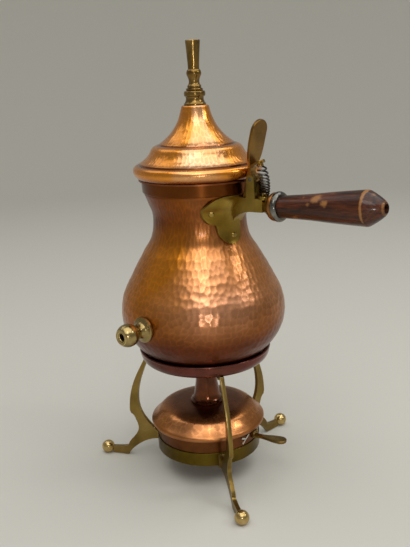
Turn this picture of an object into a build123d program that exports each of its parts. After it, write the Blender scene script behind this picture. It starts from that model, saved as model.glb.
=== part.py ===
from build123d import *
from math import asin, atan2, cos, pi, radians, sin, sqrt, tan
import os

os.makedirs("parts", exist_ok=True)

# Copper samovar: a pear-shaped pot with a thumb lever and a ball-ended tap, on a three-legged
# stand that holds a spirit lamp. Heights are measured from the floor, radii from the pot's axis,
# and bearings in degrees from the handle, anticlockwise seen from above.

# Material thicknesses and play
POT_SHEET = 1.2
LID_SHEET = 1.0
RING_SHEET = 1.2
LAMP_SHEET = 1.0
SOLDER = 0.05
PLAY = 0.3
TOUCH = 0.2
RUNNING = 0.05

# Stand
SEAT_Z = 98.6
RING_R = 51.6
RING_BORE = 39.5
RING_WALL_H = 8.6
LIP_R = 0.95
LEG_T = 3.2
PAD_W = 6.4
PAD_H = 9.6
PAD_T = 1.4
LEG_BEARINGS = {"front": -34.7, "left": -154.7, "rear": 85.3}
LEG_LUG_R = 41.5
LEG_LUG_T = 2.0
SPUR_R = 68.6
SPUR_Z = 42.5
FEET_R = 91.8
BALL_R = 5.5
BALL_Z = 5.2
HOLDER_R = 42.0
HOLDER_WALL = 1.2
HOLDER_Z = 20.5
HOLDER_H = 10.5
HOLDER_LEDGE = 4.8
SCREW_R = 1.5
SCREW_HEAD_R = 2.6
SCREW_HEAD_H = 1.4

# Lamp
LAMP_INSET = 0.8
LAMP_TOP_Z = 41.2
DOME_OVERHANG = 4.9
DOME_SEAT = 2.4
DOME_EDGE_Z = 44.8
DOME_TOP_Z = 57.8
TUBE_FLANGE_R = 13.4
TUBE_R = 8.7
TUBE_TOP_Z = 87.0
WICK_PROUD = 2.5
TAB_BEARING = 13.5
TAB_Z = 33.0
TAB_T = 2.0
TAB_LENGTH = 27.8
TAB_ROOT_W = 5.2
TAB_END_W = 9.6
TAB_FOOT_H = 5.2
TAB_FOOT_W = 9.0
CLIP_BEARING = -4.5
CLIP_T = 0.8
TAB_FOOT_T = 1.4
TAB_RIVET_R = 0.7
TAB_RIVET_TAIL_R = 1.2
TAB_RIVET_SET = 2.8

# Pot, with heights above its foot
FOOT_R = 44.5
FOOT_H = 4.4
BELLY_R = 64.5
BELLY_H = 41.4
WAIST_R = 36.0
WAIST_H = 109.4
NECK_R = 41.3
NECK_RISE = 22.0
RIM_RISE = 10.4
BAND_T = 1.8
BAND_H = 8.8
BASE_RAISE = 2.8
BASE_EDGE = 1.2

# Lid, with heights above the pot's rim
COLLAR_DEPTH = 5.0
COLLAR_SHEET = 1.0
COLLAR_FLANGE = 1.2
BEAD_R = 48.8
BEAD_H = 7.3
BEAD_TOP_H = 11.5
SHOULDER_R = 33.6
SHOULDER_H = 24.5
LID_NECK_R = 10.4
LID_H = 53.5
STUD_R = 2.5
NUT_ACROSS = 9.0
NUT_H = 3.5

# Finial, with heights above the lid
FINIAL_H = 46.1
FINIAL_BASE_R = 8.3
FINIAL_TOP_R = 5.7

# Tap
TAP_BEARING = -92.0
TAP_H = 38.4
TAP_BALL_R = 8.5
TAP_BALL_OUT = 15.3
TAP_FLAT = 6.6
TAP_BORE = 2.6
SHANK_R = 4.5
SHANK_INSIDE = 13.0
ROSE_R = 9.6
WASHER_R = 8.6
WASHER_T = 1.6
TAP_NUT_ACROSS = 14.0
TAP_NUT_H = 4.2
PIPE_R = 3.3
PIPE_WALL = 0.8
PIPE_SOCKET = 5.0

# Valve work
ROD_R = 1.5
ROD_CHAMFER = 0.4
VALVE_R = 7.0
VALVE_BORE = 3.6
VALVE_BELOW = 8.0
VALVE_SEAT_H = 5.0
SEAT_DEPTH = 2.0
POCKET_H = 2.0
CRANK_RISE = 6.0
CRANK_X = 24.0
PUSH_RISE = 7.4
CRANK_ARM_T = 3.2
CRANK_HALF_W = 1.8
FORK_HALF_W = 3.6
FORK_TOP = 1.6
FORK_SLOT_END = 3.6
HUB_R = 3.2
HUB_HALF_W = 2.6
CRANK_PIN_R = 1.2
CHEEK_T = 1.2
BUSH_R = 2.5
BUSH_LENGTH = 7.0
ROD_NUT_ACROSS = 7.0
ROD_NUT_H = 2.2

# Handle, hung from the neck's widest line, with heights above its own axis
HANDLE_DROP = 10.9
HANDLE_RISE = 4.2
PLATE_T = 1.8
PLATE_HALF_W = 28.0
PLATE_DROP = 35.3
PLATE_RISE = 1.0
ARM_HALF_W = 5.6
ARM_TOP_RISE = 10.5
ARM_LOW_RISE = 0.4
WEB_DROP = 9.0
CUP_GAP = 9.3
CUP_LENGTH = 7.4
CUP_R = 9.4
FERRULE_T = 3.3
FERRULE_R = 10.2
COLLAR_T = 4.3
COLLAR_R = 10.8
GRIP_START_R = 7.9
GRIP_R = 11.9
GRIP_TAPER = 66.6
GRIP_CONE = 12.5
GRIP_NOSE_R = 4.1
HANDLE_ROD_R = 2.2
NOSE_HOLE_R = 3.0
NOSE_HOLE_DEPTH = 4.0
RIVET_R = 1.3
RIVET_HEAD_R = 2.3
RIVET_HEAD_H = 1.0
RIVET_SEATS = ((-35.9, 0.331), (-8.1, 0.847), (34.0, 0.193))

# Lever, its hinge and its spring
PIVOT_OUT = 12.3
PIVOT_RISE = 23.9
LEVER_LEAN = 14.0
LEVER_SET = 5.1
LEVER_T = 2.6
LEVER_HALF_W = 3.1
LEVER_TAIL = 19.6
LEVER_TOP = 41.8
PADDLE_HALF_W = 8.4
PADDLE_ROOT = 4.6
LUG_R = 3.2
EAR_R = 3.3
EAR_SIDE_PLAY = 0.2
PIN_R = 1.5
SLOT_DEPTH = 6.0
WIRE_R = 0.55
COIL_R = 3.2
COIL_TURNS = 9.5
SPRING_FOOT = (8.0, 12.4)
SPRING_HEAD = (5.0, 34.5)
SPRING_BOW = 1.8
SPRING_SEAT_R = 4.3
PEG_R = 2.2
PEG_H = 2.0

# Where the pot's axis stands, so that the middle of the whole footprint is the origin
rise = radians(HANDLE_RISE)
pivot_x = NECK_R + PIVOT_OUT
cup_start = pivot_x + CUP_GAP
cup_end = cup_start + CUP_LENGTH
collar_s = cup_end + FERRULE_T
grip_s = collar_s + COLLAR_T
grip_max_s = grip_s + GRIP_TAPER
grip_end_s = grip_max_s + GRIP_CONE
reach_right = grip_end_s * cos(rise)
reach_left = FEET_R * cos(radians(180 + LEG_BEARINGS["left"])) + BALL_R
reach_rear = FEET_R * sin(radians(LEG_BEARINGS["rear"])) + BALL_R
tap_ball_u = BELLY_R + TAP_BALL_OUT
tap_end_u = tap_ball_u + TAP_FLAT
shank_in_u = BELLY_R - SHANK_INSIDE
reach_front = -tap_end_u * sin(radians(TAP_BEARING))
POT_X = (reach_left - reach_right) / 2
POT_Y = (reach_front - reach_rear) / 2

# Heights worked out from the driving sizes
flange_z = SEAT_Z - RING_SHEET
ring_top = SEAT_Z + RING_WALL_H
belly_z = SEAT_Z + BELLY_H
waist_z = SEAT_Z + WAIST_H
neck_z = waist_z + NECK_RISE
rim_z = neck_z + RIM_RISE
lid_z = rim_z + COLLAR_FLANGE
lid_top = rim_z + LID_H
tap_z = SEAT_Z + TAP_H
crank_z = neck_z + CRANK_RISE
handle_z = neck_z - HANDLE_DROP
push_z = handle_z + PUSH_RISE
pivot_z = handle_z + PIVOT_RISE
plate_top = neck_z + PLATE_RISE

# Radii of the lamp, which follow its holder
lamp_r = HOLDER_R - LAMP_INSET
dome_r = lamp_r + DOME_OVERHANG
tab_reach = lamp_r + TAB_LENGTH


def section_at(bearing, z=0):
    """Upright plane through the pot's axis: x runs outward at the bearing, y runs up."""
    turn = radians(bearing)
    return Plane((POT_X, POT_Y, z), x_dir=(cos(turn), sin(turn), 0), z_dir=(sin(turn), -cos(turn), 0))


def level(z):
    """Level plane on the pot's axis."""
    return Plane((POT_X, POT_Y, z))


def at_height(curve, z):
    """Radius and direction of a rising outline where it reaches a height."""
    low = 0.0
    high = 1.0
    for _ in range(40):
        middle = (low + high) / 2
        if (curve @ middle).Y < z:
            low = middle
        else:
            high = middle
    return (curve @ low).X, curve % low


def between(start, end, across, up):
    """Point at a share of the way across and up from start to end."""
    near = Vector(start)
    far = Vector(end)
    return (near.X + across * (far.X - near.X), near.Y + up * (far.Y - near.Y))


SECTION = section_at(0)
AXIS = Axis((POT_X, POT_Y, 0), (0, 0, 1))
TAP = section_at(TAP_BEARING, tap_z)
TAP_AXIS = Axis(TAP.origin, TAP.x_dir)
HANDLE = Plane((POT_X, POT_Y, handle_z), x_dir=(cos(rise), 0, sin(rise)), z_dir=(0, -1, 0))
HANDLE_AXIS = Axis(HANDLE.origin, HANDLE.x_dir)


def shifted(curve, distance):
    """Curve at an even distance to the right of another one."""
    steps = 20
    points = []
    for step in range(steps + 1):
        point = curve @ (step / steps)
        way = curve % (step / steps)
        points.append((point.X + distance * way.Y, point.Y - distance * way.X))
    return Spline(points)


# Side of the pot as three curves: under the belly, from the belly to the waist, and the neck's flare
with BuildLine() as pot_side:
    foot_top = (FOOT_R, SEAT_Z + FOOT_H)
    belly = (BELLY_R, belly_z)
    waist = (WAIST_R, waist_z)
    neck = (NECK_R, neck_z)
    under_line = Spline(
        foot_top, between(foot_top, belly, 0.47, 0.24), between(foot_top, belly, 0.77, 0.46), belly,
        tangents=((1, 0.8), (0, 1)),
    )
    flank_line = Spline(
        belly, between(belly, waist, 0.21, 0.294), between(belly, waist, 0.796, 0.735), waist,
        tangents=((0, 1), (0, 1)),
    )
    flare_line = Spline(waist, between(waist, neck, 0.3, 0.59), neck, tangents=((0, 1), (0, 1)))


def pot_form(grow):
    """Solid form of the whole pot above its foot, grown or shrunk evenly."""
    with BuildPart() as form:
        with BuildSketch(SECTION):
            with BuildLine():
                under = shifted(under_line, grow)
                shifted(flank_line, grow)
                flare = shifted(flare_line, grow)
                Polyline(flare @ 1, (NECK_R + grow, rim_z), (0, rim_z), (0, (under @ 0).Y), under @ 0)
            make_face()
        revolve(axis=AXIS)
    return form.part


# Solid forms of the pot's outside, of the outside of the leaf plate, and of the pot's inside
pot_outside = pot_form(SOLDER)
plate_outside = pot_form(SOLDER + PLATE_T)
pot_inside = pot_form(-POT_SHEET - SOLDER)


def rivet_planes():
    """Planes on the pot's skin with z along the skin's outward normal, one for each rivet."""
    planes = []
    for bearing, drop in RIVET_SEATS:
        height = plate_top - drop * PLATE_DROP
        curve = flare_line if height > waist_z else flank_line
        reach, along = at_height(curve, height)
        turn = radians(bearing)
        normal = (along.Y * cos(turn), along.Y * sin(turn), -along.X)
        seat = (POT_X + reach * cos(turn), POT_Y + reach * sin(turn), height)
        planes.append(Plane(seat, z_dir=normal))
    return planes


RIVETS = rivet_planes()

# Stand ring: spun copper channel with a rolled lip and a flange that the pot's foot stands on
with BuildPart() as stand_ring:
    with BuildSketch(SECTION):
        with BuildLine():
            wall = Line((RING_R, ring_top), (RING_R, ring_top - 2.2))
            turn_in = ThreePointArc(
                wall @ 1, (RING_R - 0.7, SEAT_Z + 2.2), (RING_R - 3.6, flange_z)
            )
            Line(turn_in @ 1, (RING_BORE, flange_z))
            offset(amount=RING_SHEET, side=Side.RIGHT)
        make_face()
        with Locations((RING_R - LIP_R / 4, ring_top - LIP_R)):
            Circle(LIP_R)
    revolve(axis=AXIS)
    with Locations(level(SEAT_Z)):
        with PolarLocations((LEG_LUG_R + RING_R - 3.6) / 2, 3, start_angle=LEG_BEARINGS["front"]):
            Hole(SCREW_R, depth=3 * RING_SHEET)
stand_ring.part.label = "stand_ring"
export_step(stand_ring.part, "parts/stand_ring.step")

# Legs: flat brass bar sawn to an S shape with a spur, a lug under the ring and a toe under the holder
screw_ring_r = (LEG_LUG_R + RING_R - 3.6) / 2
holder_screw_r = HOLDER_R - HOLDER_WALL - 1.9
lug_z = flange_z - LEG_LUG_T
toe_z = HOLDER_Z - 2.2
toe_in_r = HOLDER_R - HOLDER_LEDGE + 0.5
for side, bearing in LEG_BEARINGS.items():
    plane = section_at(bearing)
    with BuildPart() as leg:
        with BuildSketch(plane):
            with BuildLine():
                ring_edge = (RING_R - 2.0, flange_z)
                spur = (SPUR_R, SPUR_Z)
                outer = Spline(
                    ring_edge, between(ring_edge, spur, 0.55, 0.38), spur,
                    tangents=((0.4, -1), (0, -1)),
                )
                heel = (SPUR_R - 6.9, SPUR_Z - 16.5)
                ankle = (FEET_R - 5.0, BALL_Z + 1.4)
                tip = Line(outer @ 1, (SPUR_R - 0.9, SPUR_Z - 2.7))
                hollow = Spline(
                    tip @ 1, (SPUR_R - 5.0, SPUR_Z - 8.0), heel,
                    between(heel, ankle, 0.38, 0.74), ankle, tangents=((-1, -0.4), (1, -0.08)),
                )
                end = Line(hollow @ 1, (FEET_R - 5.0, BALL_Z - 4.5))
                sole = Line(end @ 1, (FEET_R - 19.6, BALL_Z - 4.5))
                toe = (HOLDER_R + 1.2, toe_z)
                arch = Spline(
                    sole @ 1, between(sole @ 1, toe, 0.44, 0.7), toe, tangents=((-0.6, 1), (-1, 0.02))
                )
                toe_line = Polyline(
                    arch @ 1, (toe_in_r, toe_z), (toe_in_r, HOLDER_Z),
                    (HOLDER_R + SOLDER, HOLDER_Z), (HOLDER_R + SOLDER, HOLDER_Z + 2.2),
                )
                knee = (SPUR_R - 8.2, SPUR_Z + 10.5)
                lug_edge = (RING_R - 4.2, lug_z)
                calf = Spline(
                    toe_line @ 1, between(toe_line @ 1, knee, 0.64, 0.4), knee,
                    tangents=((0.8, 0.75), (0, 1)),
                )
                shin = Spline(
                    calf @ 1, between(knee, lug_edge, 0.52, 0.66), lug_edge,
                    tangents=((0, 1), (-0.5, 1)),
                )
                Polyline(
                    shin @ 1, (LEG_LUG_R - 3.0, lug_z), (LEG_LUG_R - 3.0, flange_z), ring_edge
                )
            make_face()
        extrude(amount=LEG_T / 2, both=True)
        with BuildSketch(plane):
            with Locations((HOLDER_R, HOLDER_Z)):
                Rectangle(PAD_T + SOLDER, PAD_H, align=(Align.MIN, Align.MIN))
        extrude(amount=PAD_W / 2, both=True)
        with BuildSketch(level(HOLDER_Z)):
            Circle(HOLDER_R + SOLDER)
        extrude(amount=HOLDER_H, mode=Mode.SUBTRACT)
        with Locations(plane):
            with Locations((FEET_R, BALL_Z, 0)):
                Sphere(BALL_R + SOLDER, mode=Mode.SUBTRACT)
        with Locations(level(SEAT_Z)):
            with PolarLocations(screw_ring_r, 1, start_angle=bearing):
                Cylinder(SCREW_R, 4 * RING_SHEET + 2 * LEG_LUG_T, mode=Mode.SUBTRACT)
        with Locations(level(HOLDER_Z)):
            with PolarLocations(holder_screw_r, 1, start_angle=bearing):
                Cylinder(SCREW_R, 6 * HOLDER_WALL, mode=Mode.SUBTRACT)
    leg.part.label = side + "_leg"
    export_step(leg.part, "parts/" + side + "_leg.step")

    with BuildPart() as ball:
        with Locations(plane):
            with Locations((FEET_R, BALL_Z, 0)):
                Sphere(BALL_R)
        split(bisect_by=Plane.XY, keep=Keep.TOP)
    ball.part.label = side + "_foot"
    export_step(ball.part, "parts/" + side + "_foot.step")

# Holder: turned brass ring with a ledge that the lamp stands on
holder_top = HOLDER_Z + HOLDER_H
ledge_z = HOLDER_Z + HOLDER_WALL
with BuildPart() as lamp_holder:
    with BuildSketch(SECTION):
        with BuildLine():
            Polyline(
                (HOLDER_R - HOLDER_LEDGE, HOLDER_Z), (HOLDER_R, HOLDER_Z), (HOLDER_R, holder_top),
                (HOLDER_R - HOLDER_WALL, holder_top), (HOLDER_R - HOLDER_WALL, ledge_z),
                (HOLDER_R - HOLDER_LEDGE, ledge_z), close=True,
            )
        make_face()
    revolve(axis=AXIS)
    fillet(lamp_holder.edges().group_by(Axis.Z)[-1], HOLDER_WALL / 3)
    with Locations(level(ledge_z)):
        with PolarLocations(holder_screw_r, 3, start_angle=LEG_BEARINGS["front"]):
            Hole(SCREW_R, depth=3 * HOLDER_WALL)
lamp_holder.part.label = "lamp_holder"
export_step(lamp_holder.part, "parts/lamp_holder.step")

# Screws that hold the legs to the ring and to the holder
for name, radius, top, bottom in (
    ("ring_screws", screw_ring_r, SEAT_Z, lug_z),
    ("holder_screws", holder_screw_r, ledge_z, toe_z),
):
    with BuildPart() as screws:
        with BuildSketch(level(bottom - 0.6)):
            with PolarLocations(radius, 3, start_angle=LEG_BEARINGS["front"]):
                Circle(SCREW_R)
        extrude(amount=top - bottom + 0.6)
        with BuildSketch(level(bottom)):
            with PolarLocations(radius, 3, start_angle=LEG_BEARINGS["front"]):
                Circle(SCREW_HEAD_R)
        extrude(amount=-SCREW_HEAD_H)
        fillet(screws.faces().sort_by(Axis.Z)[:3].edges(), SCREW_HEAD_H / 3)
    screws.part.label = name
    export_step(screws.part, "parts/" + name + ".step")

# Lamp bowl: copper cup whose lower part drops into the holder
bowl_low_r = HOLDER_R - HOLDER_WALL - PLAY - 0.1
bowl_floor = ledge_z + LAMP_SHEET
bowl_in_r = lamp_r - LAMP_SHEET
TAB = section_at(TAB_BEARING)
tab_plane = Plane(TAB.origin, x_dir=-TAB.z_dir, z_dir=TAB.x_dir)
tab_rivet_seats = [(side * TAB_RIVET_SET, TAB_Z + TAB_FOOT_H - 1.6) for side in (1, -1)]
with BuildPart() as lamp_bowl:
    with BuildSketch(SECTION):
        with BuildLine():
            Polyline(
                (0, bowl_floor), (bowl_low_r - LAMP_SHEET, bowl_floor),
                (bowl_low_r - LAMP_SHEET, holder_top + PLAY), (bowl_in_r, holder_top + 1.2),
                (bowl_in_r, LAMP_TOP_Z), (lamp_r, LAMP_TOP_Z), (lamp_r, holder_top + PLAY),
                (bowl_low_r, holder_top + PLAY), (bowl_low_r, ledge_z), (0, ledge_z), close=True,
            )
        make_face()
    revolve(axis=AXIS)
    with BuildSketch(tab_plane):
        with Locations(tab_rivet_seats):
            Circle(TAB_RIVET_R)
    extrude(amount=2 * lamp_r, mode=Mode.SUBTRACT)
lamp_bowl.part.label = "lamp_bowl"
export_step(lamp_bowl.part, "parts/lamp_bowl.step")

# Lamp dome: hammered copper cover with a rolled edge, open where the neck stands
with BuildPart() as lamp_dome:
    with BuildSketch(SECTION):
        with BuildLine():
            crown = Spline(
                (TUBE_R - LAMP_SHEET, DOME_TOP_Z), (26.0, DOME_TOP_Z - 2.6), (38.5, DOME_TOP_Z - 7.2),
                (dome_r, DOME_EDGE_Z), tangents=((1, 0), (0.1, -1)),
            )
            roll = Spline(
                crown @ 1, (dome_r - 1.6, DOME_EDGE_Z - 2.2), (lamp_r, LAMP_TOP_Z),
                tangents=((0.1, -1), (-1, -0.1)),
            )
            inner_crown = shifted(crown, LAMP_SHEET)
            inner_roll = shifted(roll, LAMP_SHEET)
            Polyline(
                roll @ 1, (lamp_r - DOME_SEAT, LAMP_TOP_Z),
                (lamp_r - DOME_SEAT, LAMP_TOP_Z + LAMP_SHEET), inner_roll @ 1,
            )
            Line(crown @ 0, inner_crown @ 0)
        make_face()
    revolve(axis=AXIS)
lamp_dome.part.label = "lamp_dome"
export_step(lamp_dome.part, "parts/lamp_dome.step")

# Lamp neck: trumpet-shaped copper tube with a ring and a flange on the dome
with BuildPart() as wick_tube:
    with BuildSketch(SECTION):
        with BuildLine():
            foot_r = TUBE_FLANGE_R
            flange = Polyline(
                (TUBE_R - LAMP_SHEET, DOME_TOP_Z), (foot_r, DOME_TOP_Z), (foot_r, DOME_TOP_Z + 1.2),
                (foot_r - 1.4, DOME_TOP_Z + 2.2), (foot_r - 1.0, DOME_TOP_Z + 3.2),
                (foot_r - 1.8, DOME_TOP_Z + 4.2),
            )
            trumpet = Spline(
                flange @ 1, (TUBE_R + 1.2, DOME_TOP_Z + 10.5), (TUBE_R, DOME_TOP_Z + 20),
                tangents=((-0.5, 1), (0, 1)),
            )
            Polyline(
                trumpet @ 1, (TUBE_R, TUBE_TOP_Z), (TUBE_R - LAMP_SHEET, TUBE_TOP_Z),
                (TUBE_R - LAMP_SHEET, DOME_TOP_Z),
            )
        make_face()
    revolve(axis=AXIS)
wick_tube.part.label = "wick_tube"
export_step(wick_tube.part, "parts/wick_tube.step")

# Wick: twisted cotton that dips into the spirit
wick_low = bowl_floor + 4.0
with BuildPart() as wick:
    with BuildSketch(level(wick_low)):
        Circle(TUBE_R - LAMP_SHEET - 0.1)
    extrude(amount=TUBE_TOP_Z + WICK_PROUD - wick_low)
    fillet(wick.faces().sort_by(Axis.Z)[-1].edges(), 1.5)
wick.part.label = "wick"
export_step(wick.part, "parts/wick.step")

# Lamp tab: spoon-shaped brass pull with a turned-up foot riveted to the bowl
with BuildPart() as lamp_tab:
    with BuildSketch(Plane((POT_X, POT_Y, TAB_Z), x_dir=TAB.x_dir)):
        with BuildLine():
            root = lamp_r - 1.0
            wide = tab_reach - TAB_END_W / 2
            upper = Spline(
                (root, TAB_ROOT_W / 2), (root + 8, TAB_ROOT_W / 2 - 0.4), (wide, TAB_END_W / 2),
                tangents=((1, 0), (1, 0)),
            )
            nose = ThreePointArc(upper @ 1, (tab_reach, 0), (wide, -TAB_END_W / 2))
            Spline(
                nose @ 1, (root + 8, 0.4 - TAB_ROOT_W / 2), (root, -TAB_ROOT_W / 2),
                tangents=((-1, 0), (-1, 0)),
            )
            Line((root, -TAB_ROOT_W / 2), (root, TAB_ROOT_W / 2))
        make_face()
    extrude(amount=TAB_T)
    rim = lamp_tab.faces().group_by(Axis.Z)[-1].edges().filter_by(GeomType.LINE, reverse=True)
    chamfer(rim, TAB_T / 5)
    with BuildSketch(tab_plane.offset(lamp_r - 4)):
        with Locations((0, TAB_Z + TAB_FOOT_H / 2)):
            RectangleRounded(TAB_FOOT_W, TAB_FOOT_H, 1.5)
    extrude(amount=4 + TAB_FOOT_T)
    with BuildSketch(level(TAB_Z - 1)):
        Circle(lamp_r + SOLDER)
    extrude(amount=TAB_FOOT_H + 4, mode=Mode.SUBTRACT)
    with BuildSketch(tab_plane):
        with Locations(tab_rivet_seats):
            Circle(TAB_RIVET_R)
    extrude(amount=2 * lamp_r, mode=Mode.SUBTRACT)
lamp_tab.part.label = "lamp_tab"
export_step(lamp_tab.part, "parts/lamp_tab.step")

# Rivets of the tab, with a flat tail inside the bowl and a round head outside
with BuildPart() as tab_rivets:
    tail = sqrt(bowl_in_r**2 - (TAB_RIVET_SET + TAB_RIVET_TAIL_R) ** 2) - SOLDER
    head = lamp_r + TAB_FOOT_T + SOLDER
    for start, radius, length in ((tail - 0.7, TAB_RIVET_TAIL_R, 0.7), (tail, TAB_RIVET_R, head - tail)):
        with BuildSketch(tab_plane.offset(start)):
            with Locations(tab_rivet_seats):
                Circle(radius)
        extrude(amount=length)
    with BuildSketch(tab_plane.offset(head)):
        with Locations(tab_rivet_seats):
            Circle(TAB_RIVET_TAIL_R + 0.1)
    extrude(amount=0.7, taper=30)
tab_rivets.part.label = "tab_rivets"
export_step(tab_rivets.part, "parts/tab_rivets.step")

# Clip beside the tab: small forked nickel strip soldered to the bowl
CLIP = section_at(CLIP_BEARING)
clip_wall = Plane(CLIP.origin + CLIP.x_dir * (lamp_r - 4), x_dir=-CLIP.z_dir, z_dir=CLIP.x_dir)
with BuildPart() as tab_clip:
    with BuildSketch(clip_wall):
        for end in ((4.4, TAB_Z + 6.2), (-4.2, TAB_Z + 5.0), (-3.4, TAB_Z)):
            with BuildLine():
                Line((0.4, TAB_Z + 3.4), end)
            trace(line_width=1.3)
    extrude(amount=8)
    with BuildSketch(level(TAB_Z - 3)):
        Circle(lamp_r + SOLDER + CLIP_T)
    extrude(amount=14, mode=Mode.INTERSECT)
    with BuildSketch(level(TAB_Z - 4)):
        Circle(lamp_r + SOLDER)
    extrude(amount=16, mode=Mode.SUBTRACT)
tab_clip.part.label = "tab_clip"
export_step(tab_clip.part, "parts/tab_clip.step")

# Pot: hammered copper raised in one piece from foot to rim, pierced for the tap, bush and rivets
with BuildPart() as pot_body:
    with BuildSketch(SECTION):
        with BuildLine():
            add(pot_side.line)
            inner_under = shifted(under_line, -POT_SHEET)
            shifted(flank_line, -POT_SHEET)
            inner_flare = shifted(flare_line, -POT_SHEET)
            Polyline(
                foot_top, (FOOT_R, SEAT_Z), (FOOT_R - POT_SHEET, SEAT_Z),
                (FOOT_R - POT_SHEET, SEAT_Z + FOOT_H), inner_under @ 0,
            )
            Polyline(neck, (NECK_R, rim_z), (NECK_R - POT_SHEET, rim_z), inner_flare @ 1)
        make_face()
    revolve(axis=AXIS)
    with BuildSketch(Plane(TAP.origin, z_dir=TAP.x_dir)):
        Circle(SHANK_R)
    extrude(amount=2 * BELLY_R, mode=Mode.SUBTRACT)
    with BuildSketch(Plane((POT_X, POT_Y, push_z), z_dir=(1, 0, 0))):
        Circle(BUSH_R)
    extrude(amount=2 * BELLY_R, mode=Mode.SUBTRACT)
    for plane in RIVETS:
        with BuildSketch(plane.offset(-4 * POT_SHEET)):
            Circle(RIVET_R)
        extrude(amount=8 * POT_SHEET, mode=Mode.SUBTRACT)
pot_body.part.label = "pot_body"
export_step(pot_body.part, "parts/pot_body.step")

# Base: raised copper disc soldered inside the foot
base_r = FOOT_R - POT_SHEET - SOLDER
base_z = SEAT_Z + BASE_RAISE
with BuildPart() as pot_base:
    with BuildSketch(SECTION):
        with BuildLine():
            Polyline(
                (0, base_z), (base_r - POT_SHEET, base_z), (base_r - POT_SHEET, SEAT_Z + BASE_EDGE),
                (base_r, SEAT_Z + BASE_EDGE), (base_r, base_z + POT_SHEET), (0, base_z + POT_SHEET),
                close=True,
            )
        make_face()
    revolve(axis=AXIS)
pot_base.part.label = "pot_base"
export_step(pot_base.part, "parts/pot_base.step")

# Band: smooth copper strap soldered round the neck
with BuildPart() as neck_band:
    with BuildSketch(SECTION):
        with BuildLine():
            inside = NECK_R + SOLDER
            outside = NECK_R + BAND_T
            Polyline(
                (inside, rim_z - BAND_H), (outside - 0.5, rim_z - BAND_H), (outside, rim_z),
                (inside, rim_z), close=True,
            )
        make_face()
    revolve(axis=AXIS)
    fillet(neck_band.edges().group_by(Axis.Z)[0].sort_by(SortBy.RADIUS)[-1], 0.5)
neck_band.part.label = "neck_band"
export_step(neck_band.part, "parts/neck_band.step")

# Lid: hammered copper in three steps, a bell, a shoulder and a rolled bead
with BuildPart() as lid:
    with BuildSketch(SECTION):
        with BuildLine():
            bell_foot = (SHOULDER_R - 5.7, rim_z + SHOULDER_H + 1.9)
            neck_top = (LID_NECK_R, lid_top - 0.8)
            Polyline((0, lid_top), (LID_NECK_R - 0.8, lid_top), neck_top)
            bell = Spline(
                neck_top, between(neck_top, bell_foot, 0.13, 0.29), between(neck_top, bell_foot, 0.3, 0.53),
                between(neck_top, bell_foot, 0.59, 0.77), bell_foot, tangents=((0.1, -1), (1, -0.7)),
            )
            ledge = Line(bell @ 1, (SHOULDER_R - 5.4, rim_z + SHOULDER_H + 1.1))
            shoulder = Spline(
                ledge @ 1, (SHOULDER_R - 1.2, rim_z + SHOULDER_H),
                (SHOULDER_R + 1.4, rim_z + SHOULDER_H - 2.9),
                tangents=((1, -0.1), (0.5, -1)),
            )
            skirt = Spline(
                shoulder @ 1, (SHOULDER_R + 5.0, rim_z + SHOULDER_H - 8.1),
                (BEAD_R - 5.4, rim_z + BEAD_TOP_H + 1.2),
                tangents=((0.5, -1), (1, -0.75)),
            )
            groove = Line(skirt @ 1, (BEAD_R - 5.0, rim_z + BEAD_TOP_H))
            bead = Spline(
                groove @ 1, (BEAD_R - 1.4, rim_z + BEAD_H + 2.9), (BEAD_R, rim_z + BEAD_H),
                (BEAD_R - 1.5, rim_z + BEAD_H - 3.6), (BEAD_R - 4.2, lid_z),
                tangents=((1, 0.1), (-1, -0.35)),
            )
            inner_bell = shifted(bell, LID_SHEET)
            inner_shoulder = shifted(shoulder, LID_SHEET)
            inner_skirt = shifted(skirt, LID_SHEET)
            inner_bead = shifted(bead, LID_SHEET)
            Polyline((0, lid_top), (0, lid_top - LID_SHEET), inner_bell @ 0)
            Line(inner_bell @ 1, inner_shoulder @ 0)
            Line(inner_skirt @ 1, inner_bead @ 0)
            Polyline(bead @ 1, (BEAD_R - 6.4, lid_z), (BEAD_R - 6.4, lid_z + LID_SHEET), inner_bead @ 1)
        make_face()
    revolve(axis=AXIS)
    with Locations(level(lid_top)):
        Hole(STUD_R, depth=3 * LID_SHEET)
lid.part.label = "lid"
export_step(lid.part, "parts/lid.step")

# Collar: copper ring soldered in the lid, whose skirt drops into the neck
collar_r = NECK_R - POT_SHEET - PLAY
with BuildPart() as lid_collar:
    with BuildSketch(SECTION):
        with BuildLine():
            Polyline(
                (collar_r - COLLAR_SHEET, rim_z - COLLAR_DEPTH), (collar_r, rim_z - COLLAR_DEPTH),
                (collar_r, rim_z), (BEAD_R - 3.6, rim_z), (BEAD_R - 3.6, lid_z),
                (collar_r - COLLAR_SHEET, lid_z), close=True,
            )
        make_face()
    revolve(axis=AXIS)
lid_collar.part.label = "lid_collar"
export_step(lid_collar.part, "parts/lid_collar.step")

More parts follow.
